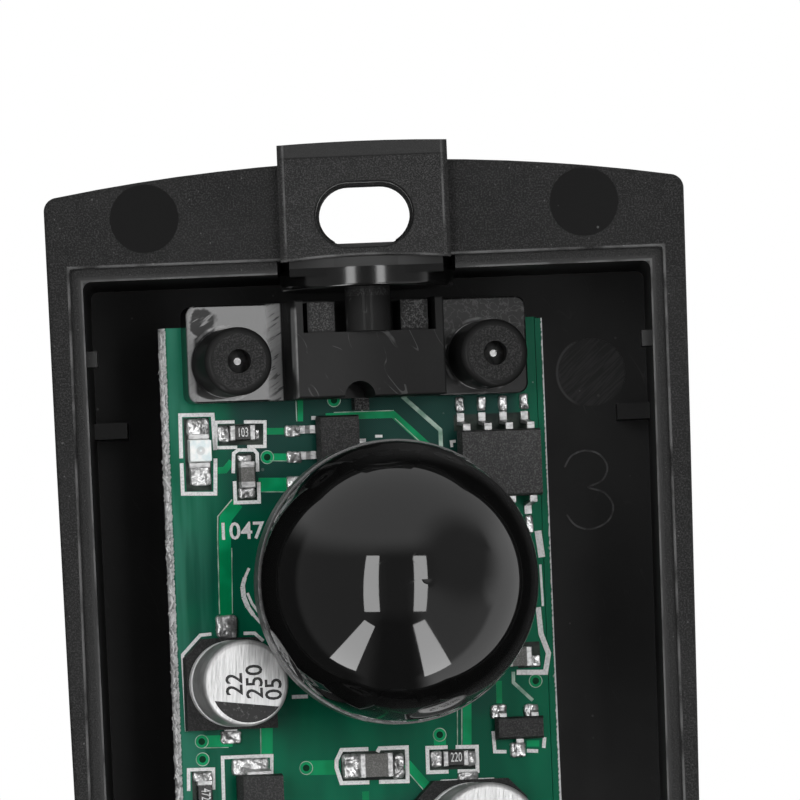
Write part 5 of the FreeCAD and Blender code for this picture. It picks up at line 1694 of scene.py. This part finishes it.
@dataclass
class SolderJoints:
    """All solder joints, grown from points by one Geometry Nodes tree."""

    seed: int = 7
    wrinkle: float = 0.2
    joints: Sequence[Joint] = (
        Joint(-9.29, 16.14, 1.3, 1.18, 0.34), Joint(-9.27, 13.42, 1.24, 1.13, 0.34),
        Joint(-7.82, 15.79, 0.62, 0.88, 0.3), Joint(-5.8, 15.72, 0.22, 0.5, 0.12),
        Joint(-6.61, 14.36, 0.8, 0.36, 0.18), Joint(-6.57, 12.35, 0.98, 0.6, 0.4),
        Joint(-3.72, 15.83, 0.9, 0.67, 0.32), Joint(-3.7, 14.33, 0.86, 0.67, 0.32),
        Joint(-3.76, 12.88, 0.86, 0.67, 0.32),
        Joint(6.26, 17.05, 0.47, 0.86, 0.34), Joint(7.54, 17.05, 0.47, 0.86, 0.34),
        Joint(8.82, 17.05, 0.47, 0.86, 0.34), Joint(10.09, 17.1, 0.47, 0.9, 0.34),
        Joint(6.26, 10.05, 0.47, 0.86, 0.34), Joint(7.54, 10.05, 0.47, 0.86, 0.34),
        Joint(8.82, 10.05, 0.47, 0.86, 0.34), Joint(10.09, 9.95, 0.47, 1.05, 0.34),
        Joint(-8.05, 4.65, 1.22, 1.3, 0.32), Joint(-8.05, -1.75, 1.2, 0.75, 0.3),
        Joint(-7.0, -3.5, 2.15, 1.0, 0.45), Joint(-6.65, -8.7, 2.1, 1.0, 0.45),
        Joint(-9.78, -3.98, 1.1, 0.56, 0.32), Joint(-9.74, -5.98, 1.1, 0.56, 0.32),
        Joint(-1.05, -3.71, 0.98, 1.42, 0.55), Joint(1.75, -3.8, 0.66, 1.42, 0.5),
        Joint(4.05, -3.5, 0.68, 0.9, 0.34), Joint(6.15, -3.53, 0.44, 0.85, 0.26),
        Joint(7.87, -0.88, 0.93, 0.83, 0.34), Joint(9.81, -0.95, 0.87, 0.83, 0.34),
        Joint(8.91, -3.14, 0.92, 0.88, 0.36),
        Joint(10.16, 2.0, 0.5, 0.62, 0.3), Joint(8.1, 2.34, 0.6, 1.3, 0.4),
        Joint(5.9, -4.6, 1.2, 0.6, 0.3), Joint(5.9, -11.55, 1.2, 0.8, 0.3),
    )

    def tree(self) -> bpy.types.NodeTree:
        """The tree that sets a wrinkled pillow on each point.

        Returns:
            The tree.
        """
        inputs = {"Wrinkle": "NodeSocketFloat", "Finish": "NodeSocketMaterial"}
        graph, start, end = point_tree("solder_pillows", inputs)
        cube = graph.node("GeometryNodeMeshCube", {"Size": (2.0, 2.0, 2.0)})
        pillow = graph.node("GeometryNodeSubdivisionSurface", {"Mesh": cube.outputs["Mesh"], "Level": 4,
                                                               "Edge Crease": 0.42})
        size = graph.node("GeometryNodeInputNamedAttribute", {"Name": "size"}, data_type="FLOAT_VECTOR")
        placed = graph.node("GeometryNodeInstanceOnPoints", {"Points": start.outputs["Points"],
                                                            "Instance": pillow.outputs["Mesh"],
                                                            "Scale": size.outputs["Attribute"]})
        real = graph.node("GeometryNodeRealizeInstances", {"Geometry": placed.outputs[0]})
        ripple = graph.node("ShaderNodeTexNoise", {"Scale": 2.2, "Detail": 1.0, "W": float(self.seed)},
                            noise_dimensions="4D")
        centred = graph.node("ShaderNodeVectorMath", {0: ripple.outputs["Color"], 1: (0.5, 0.5, 0.5)},
                             operation="SUBTRACT")
        offset = graph.node("ShaderNodeVectorMath", {0: centred.outputs[0]}, operation="SCALE")
        graph.feed(offset.inputs["Scale"], start.outputs["Wrinkle"])
        moved = graph.node("GeometryNodeSetPosition", {"Geometry": real.outputs[0],
                                                       "Offset": offset.outputs[0]})
        shade = graph.node("GeometryNodeSetShadeSmooth", {"Geometry": moved.outputs[0]})
        coated = graph.node("GeometryNodeSetMaterial", {"Geometry": shade.outputs[0],
                                                       "Material": start.outputs["Finish"]})
        graph.feed(end.inputs[0], coated.outputs[0])
        return graph.tree

    def build(self) -> None:
        """Set the joints on the board and keep the result as a plain mesh."""
        sizes = [(joint.width / 2, joint.length / 2, joint.height) for joint in self.joints]
        points = point_mesh("solder_points", [(joint.x, joint.z, 0.0) for joint in self.joints], sizes)
        data = grow(points, self.tree(), {"Wrinkle": self.wrinkle, "Finish": SOLDER.material()})
        data.transform(board_matrix())
        publish("solder_joints", data, HEAD_BODY, SOLDER, smooth=True)


def point_tree(name: str, inputs: dict[str, str]) -> tuple[Graph, bpy.types.Node, bpy.types.Node]:
    """A Geometry Nodes tree that takes points, with only its two end nodes.

    Args:
        name: The tree's name.
        inputs: Socket type of each further input by name.

    Returns:
        The tree's graph, its input node and its output node.
    """
    tree = bpy.data.node_groups.new(name, "GeometryNodeTree")
    tree.interface.new_socket("Points", in_out="INPUT", socket_type="NodeSocketGeometry")
    for label, kind in inputs.items():
        tree.interface.new_socket(label, in_out="INPUT", socket_type=kind)
    tree.interface.new_socket("Geometry", in_out="OUTPUT", socket_type="NodeSocketGeometry")
    graph = Graph(tree)
    return graph, graph.node("NodeGroupInput"), graph.node("NodeGroupOutput")


def point_mesh(name: str, places: Sequence[Point3], sizes: Sequence[Point3]) -> bpy.types.Mesh:
    """Loose points that carry a size each.

    Args:
        name: The mesh's name.
        places: Where the points are.
        sizes: The size that each keeps in its attribute "size".

    Returns:
        The mesh.
    """
    points = bpy.data.meshes.new(name)
    points.from_pydata(places, [], [])
    kept = points.attributes.new("size", "FLOAT_VECTOR", "POINT")
    for index, size in enumerate(sizes):
        kept.data[index].vector = size
    return points


def grow(points: bpy.types.Mesh, tree: bpy.types.NodeTree, values: dict[str, object]) -> bpy.types.Mesh:
    """Run a Geometry Nodes tree on a mesh and return the result as a plain mesh.

    Args:
        points: The mesh that the tree starts from.
        tree: The tree.
        values: The tree's inputs by name.

    Returns:
        The evaluated mesh.
    """
    holder = bpy.data.objects.new(points.name + "_holder", points)
    bpy.context.scene.collection.objects.link(holder)
    modifier = holder.modifiers.new("grow", "NODES")
    modifier.node_group = tree
    for item in tree.interface.items_tree:
        if item.item_type == "SOCKET" and item.in_out == "INPUT" and item.name in values:
            modifier[item.identifier] = values[item.name]
    bpy.context.view_layer.update()
    result = bpy.data.meshes.new_from_object(holder.evaluated_get(bpy.context.evaluated_depsgraph_get()))
    holder.modifiers.remove(modifier)
    bpy.data.objects.remove(holder)
    return result


@dataclass
class FrayedEdges:
    """Torn glass fibres along the board's two snapped edges."""

    half_width: float = 11.2
    margin_edge: float = 11.42
    half_length: float = 22.0
    spacing: float = 0.16
    seed: int = 11

    def tree(self) -> bpy.types.NodeTree:
        """The tree that sets a small tilted tuft on each point.

        Returns:
            The tree.
        """
        inputs = {"Seed": "NodeSocketInt", "Finish": "NodeSocketMaterial"}
        graph, start, end = point_tree("edge_tufts", inputs)
        tuft = graph.node("GeometryNodeMeshIcoSphere", {"Radius": 1.0, "Subdivisions": 2})
        size = graph.node("GeometryNodeInputNamedAttribute", {"Name": "size"}, data_type="FLOAT_VECTOR")
        turn = graph.node("FunctionNodeRandomValue", {0: (-0.3, -0.3, -0.5), 1: (0.3, 0.3, 0.5)},
                          data_type="FLOAT_VECTOR")
        graph.feed(turn.inputs["Seed"], start.outputs["Seed"])
        placed = graph.node("GeometryNodeInstanceOnPoints", {"Points": start.outputs["Points"],
                                                            "Instance": tuft.outputs["Mesh"],
                                                            "Rotation": turn.outputs[0],
                                                            "Scale": size.outputs["Attribute"]})
        real = graph.node("GeometryNodeRealizeInstances", {"Geometry": placed.outputs[0]})
        coated = graph.node("GeometryNodeSetMaterial", {"Geometry": real.outputs[0],
                                                       "Material": start.outputs["Finish"]})
        graph.feed(end.inputs[0], coated.outputs[0])
        return graph.tree

    def build(self) -> None:
        """Scatter larger tufts on the left edge's slope and small ones on the right edge."""
        dice = random.Random(self.seed)
        places, sizes = [], []
        for index in range(int(2 * self.half_length / self.spacing)):
            up = -self.half_length + 0.3 + index * self.spacing * 0.985
            for side, low, high, scale in ((-1, 0.05, 0.5, 1.0), (-1, 0.3, 0.9, 0.8), (1, 0.05, 0.4, 0.22)):
                inward = dice.uniform(0.0, 0.05)
                edge = self.half_width if side < 0 else self.margin_edge
                places.append((side * (edge - inward), up + dice.uniform(-0.08, 0.08),
                               -dice.uniform(low, high) - 0.1))
                sizes.append((scale * dice.uniform(0.03, 0.09), scale * dice.uniform(0.12, 0.4),
                              scale * dice.uniform(0.1, 0.3)))
        points = point_mesh("tuft_points", places, sizes)
        data = grow(points, self.tree(), {"Seed": self.seed, "Finish": FIBRE.material()})
        data.transform(board_matrix())
        publish("board_edge_fibres", data, HEAD_BODY, FIBRE, smooth=True)


@dataclass
class MouldMarks:
    """The thin raised digit on the tub's floor."""

    curve: Sequence[Point2] = ((11.2, 13.3), (11.6, 13.93), (12.4, 14.22), (13.25, 13.97), (13.7, 13.2),
                               (13.35, 12.42), (12.55, 12.06), (13.45, 11.72), (13.95, 10.9), (13.6, 10.03),
                               (12.6, 9.6), (11.7, 9.85), (11.2, 10.5))
    floor: float = 13.6855
    line: float = 0.1
    height: float = 0.05
    parts: int = 4

    def smooth(self) -> list[Point2]:
        """The curve with extra points, so that it bends evenly.

        Returns:
            The points.
        """
        ends = [self.curve[0], *self.curve, self.curve[-1]]
        points = []
        for i in range(1, len(ends) - 2):
            a, b, c, d = (Vector(point) for point in ends[i - 1:i + 3])
            for step in range(self.parts):
                t = step / self.parts
                here = b + 0.5 * t * (c - a) + t * t * (a - 2.5 * b + 2 * c - 0.5 * d)
                here += t * t * t * (1.5 * (b - c) + 0.5 * (d - a))
                points.append(tuple(here))
        return points + [self.curve[-1]]

    def build(self) -> None:
        """Draw the digit as one bent line."""
        axes = Matrix(((1, 0, 0, 0), (0, 0, -1, self.floor), (0, 1, 0, 0), (0, 0, 0, 1)))
        sketch = MeshSketch(Matrix.Scale(MM, 4) @ axes)
        sketch.strip(self.smooth(), self.line, 0.0, self.height)
        sketch.finish("floor_mould_digit", HOUSING_BODY, MOULD_LINE)


def facing(place: Point3, target: Point3) -> Matrix:
    """The matrix of a camera or lamp.

    Args:
        place: Where it stands.
        target: What it points at.

    Returns:
        The matrix.
    """
    look = (Vector(target) - Vector(place)).to_track_quat("-Z", "Y").to_matrix().to_4x4()
    return Matrix.Translation(place) @ look


@dataclass
class Studio:
    """Camera, floor, world and lights, in metres except for the sheets' outlines in millimetres."""

    eye: Point3 = (0.0, -0.6025, 0.001)
    target: Point3 = (0.00163, -0.0025, 0.01718)
    roll: float = 2.25
    focal_length: float = 472.0
    sensor_width: float = 36.0
    nearest: float = 0.01
    farthest: float = 20.0
    floor_level: float = -0.0322
    floor_corners: Sequence[Point2] = ((-2.0, -2.0), (2.0, -2.0), (2.0, 1.9), (-2.0, 1.9))
    dim_direction: Point3 = (0.81, -0.527, 0.257)
    lamp_power: float = 0.72
    strip_depth: float = -400.0
    strips: Sequence[Sequence[Point2]] = (
        ((-190.1, 172.9), (-102.9, 160.6), (-115.7, -178.8), (-226.7, -188.6)),
        ((96.4, 151.3), (181.6, 155.5), (173.1, -195.2), (89.0, -182.8)),
    )
    lamp_places: Sequence[Point3] = ((-0.158, -0.4, 0.06), (0.135, -0.4, 0.06))
    lamp_target: Point3 = (0.0, 0.0, 0.006)
    lamp_size: float = 0.2
    low_panel_lift: float = 0.7
    low_panels: Sequence[Sequence[Point2]] = (
        ((-34.2, -64.7), (-20.0, -56.1), (-18.7, -10.0), (-35.8, -6.9)),
        ((12.6, -58.2), (25.5, -64.3), (23.8, -10.6), (10.3, -9.9)),
    )

    def camera(self) -> None:
        """Set the camera where the photograph was taken from."""
        data = bpy.data.cameras.new("camera")
        data.lens = self.focal_length
        data.sensor_width = self.sensor_width
        data.clip_start = self.nearest
        data.clip_end = self.farthest
        camera = bpy.data.objects.new("camera", data)
        roll = Matrix.Rotation(math.radians(-self.roll), 4, "Z")
        camera.matrix_world = facing(self.eye, self.target) @ roll
        bpy.context.scene.collection.objects.link(camera)
        bpy.context.scene.camera = camera

    def floor(self) -> None:
        """A plain pale floor that keeps the shadow."""
        sketch = bmesh.new()
        sketch.faces.new([sketch.verts.new((x, y, self.floor_level)) for x, y in self.floor_corners])
        data = bpy.data.meshes.new("floor")
        sketch.to_mesh(data)
        sketch.free()
        data.materials.append(FLOOR.material())
        floor = bpy.data.objects.new("floor", data)
        floor.visible_glossy = False
        bpy.context.scene.collection.objects.link(floor)

    def world(self) -> None:
        """White behind the object, dim for plain light, and light and dark walls in reflections."""
        world = bpy.data.worlds.new("studio")
        world.use_nodes = True
        world.node_tree.nodes.clear()
        graph = Graph(world.node_tree)
        path = graph.node("ShaderNodeLightPath")
        direction = graph.node("ShaderNodeTexCoord").outputs["Generated"]
        split = graph.node("ShaderNodeSeparateXYZ", {"Vector": direction})
        x, y, z = split.outputs
        # a dim room with a lighter left side, and light to the lower right
        walls = graph.mixed(graph.step(x, -0.12, -0.4), 0.17, 0.3)
        walls = graph.mixed(graph.times(graph.step(x, 0.08, 0.4), graph.step(z, 0.15, -0.25)), walls, 0.6)
        # bright walls far right and behind on the right, and a bright ceiling
        beside = graph.times(graph.step(y, -0.12, 0.0), graph.step(x, 0.05, 0.3))
        walls = graph.mixed(graph.most(graph.step(x, 0.93, 0.98), beside), walls, 1.3)
        above = graph.times(graph.step(z, 0.3, 0.6), graph.step(y, 0.6, 0.4))
        walls = graph.mixed(above, walls, 0.95)
        # a dim spot on the right, and dark walls behind on the left and below
        away = graph.node("ShaderNodeVectorMath", {0: direction, 1: self.dim_direction}, operation="DISTANCE")
        walls = graph.mixed(graph.step(away.outputs["Value"], 0.75, 0.3), walls, 0.3)
        left_back = graph.times(graph.step(y, -0.05, 0.1), graph.step(x, -0.2, -0.5))
        below = graph.times(graph.step(z, -0.35, -0.6), graph.near(x, -0.05, 0.4))
        dark = graph.times(graph.most(left_back, below), graph.minus(1.0, above))
        walls = graph.mixed(dark, walls, 0.06)
        # the camera sees plain white, reflections see the walls, and plain light is dim
        seen = graph.mixed(path.outputs["Is Camera Ray"], walls, 1.0)
        shown = graph.most(path.outputs["Is Camera Ray"], path.outputs["Is Glossy Ray"],
                           path.outputs["Is Transmission Ray"])
        level = graph.mixed(shown, 0.3, seen)
        light = graph.node("ShaderNodeBackground", {"Color": WHITE, "Strength": level})
        graph.node("ShaderNodeOutputWorld", {"Surface": light.outputs[0]})
        bpy.context.scene.world = world

    def panel(self, name: str, corners: Sequence[Point3]) -> None:
        """A glowing sheet that only reflections see.

        Args:
            name: The sheet's name.
            corners: Its corners in millimetres.
        """
        sketch = bmesh.new()
        sketch.faces.new([sketch.verts.new(Vector(corner) * MM) for corner in corners])
        data = bpy.data.meshes.new(name)
        sketch.to_mesh(data)
        sketch.free()
        data.materials.append(PANEL.material())
        sheet = bpy.data.objects.new(name, data)
        sheet.visible_camera = False
        sheet.visible_diffuse = False
        sheet.visible_shadow = False
        bpy.context.scene.collection.objects.link(sheet)

    def lights(self) -> None:
        """Soft lamps that light everything, and glowing sheets that reflections see in their place."""
        for index, centre in enumerate(self.lamp_places):
            data = bpy.data.lights.new("lamp", "AREA")
            data.size = self.lamp_size
            data.energy = self.lamp_power
            lamp = bpy.data.objects.new("lamp_%d" % index, data)
            lamp.matrix_world = facing(centre, self.lamp_target)
            lamp.visible_camera = False
            lamp.visible_glossy = False
            bpy.context.scene.collection.objects.link(lamp)
        for index, outline in enumerate(self.strips):
            self.panel("strip_%d" % index, [(x, self.strip_depth, z) for x, z in outline])
        low = self.floor_level / MM + self.low_panel_lift
        for index, outline in enumerate(self.low_panels):
            self.panel("low_panel_%d" % index, [(x, y, low) for x, y in outline])

    def build(self) -> None:
        """Make the studio."""
        bpy.context.scene.view_settings.view_transform = "Standard"
        self.camera()
        self.floor()
        self.world()
        self.lights()


def main() -> None:
    """Build and dress everything in order."""
    logging.basicConfig(level=logging.INFO, format="%(message)s")
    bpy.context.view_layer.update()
    Studio().build()
    dress_nodes()
    BoardArtwork().build()
    ChipParts().build()
    PartMarkings().build()
    SolderJoints().build()
    FrayedEdges().build()
    MouldMarks().build()


if __name__ == "__main__":
    main()
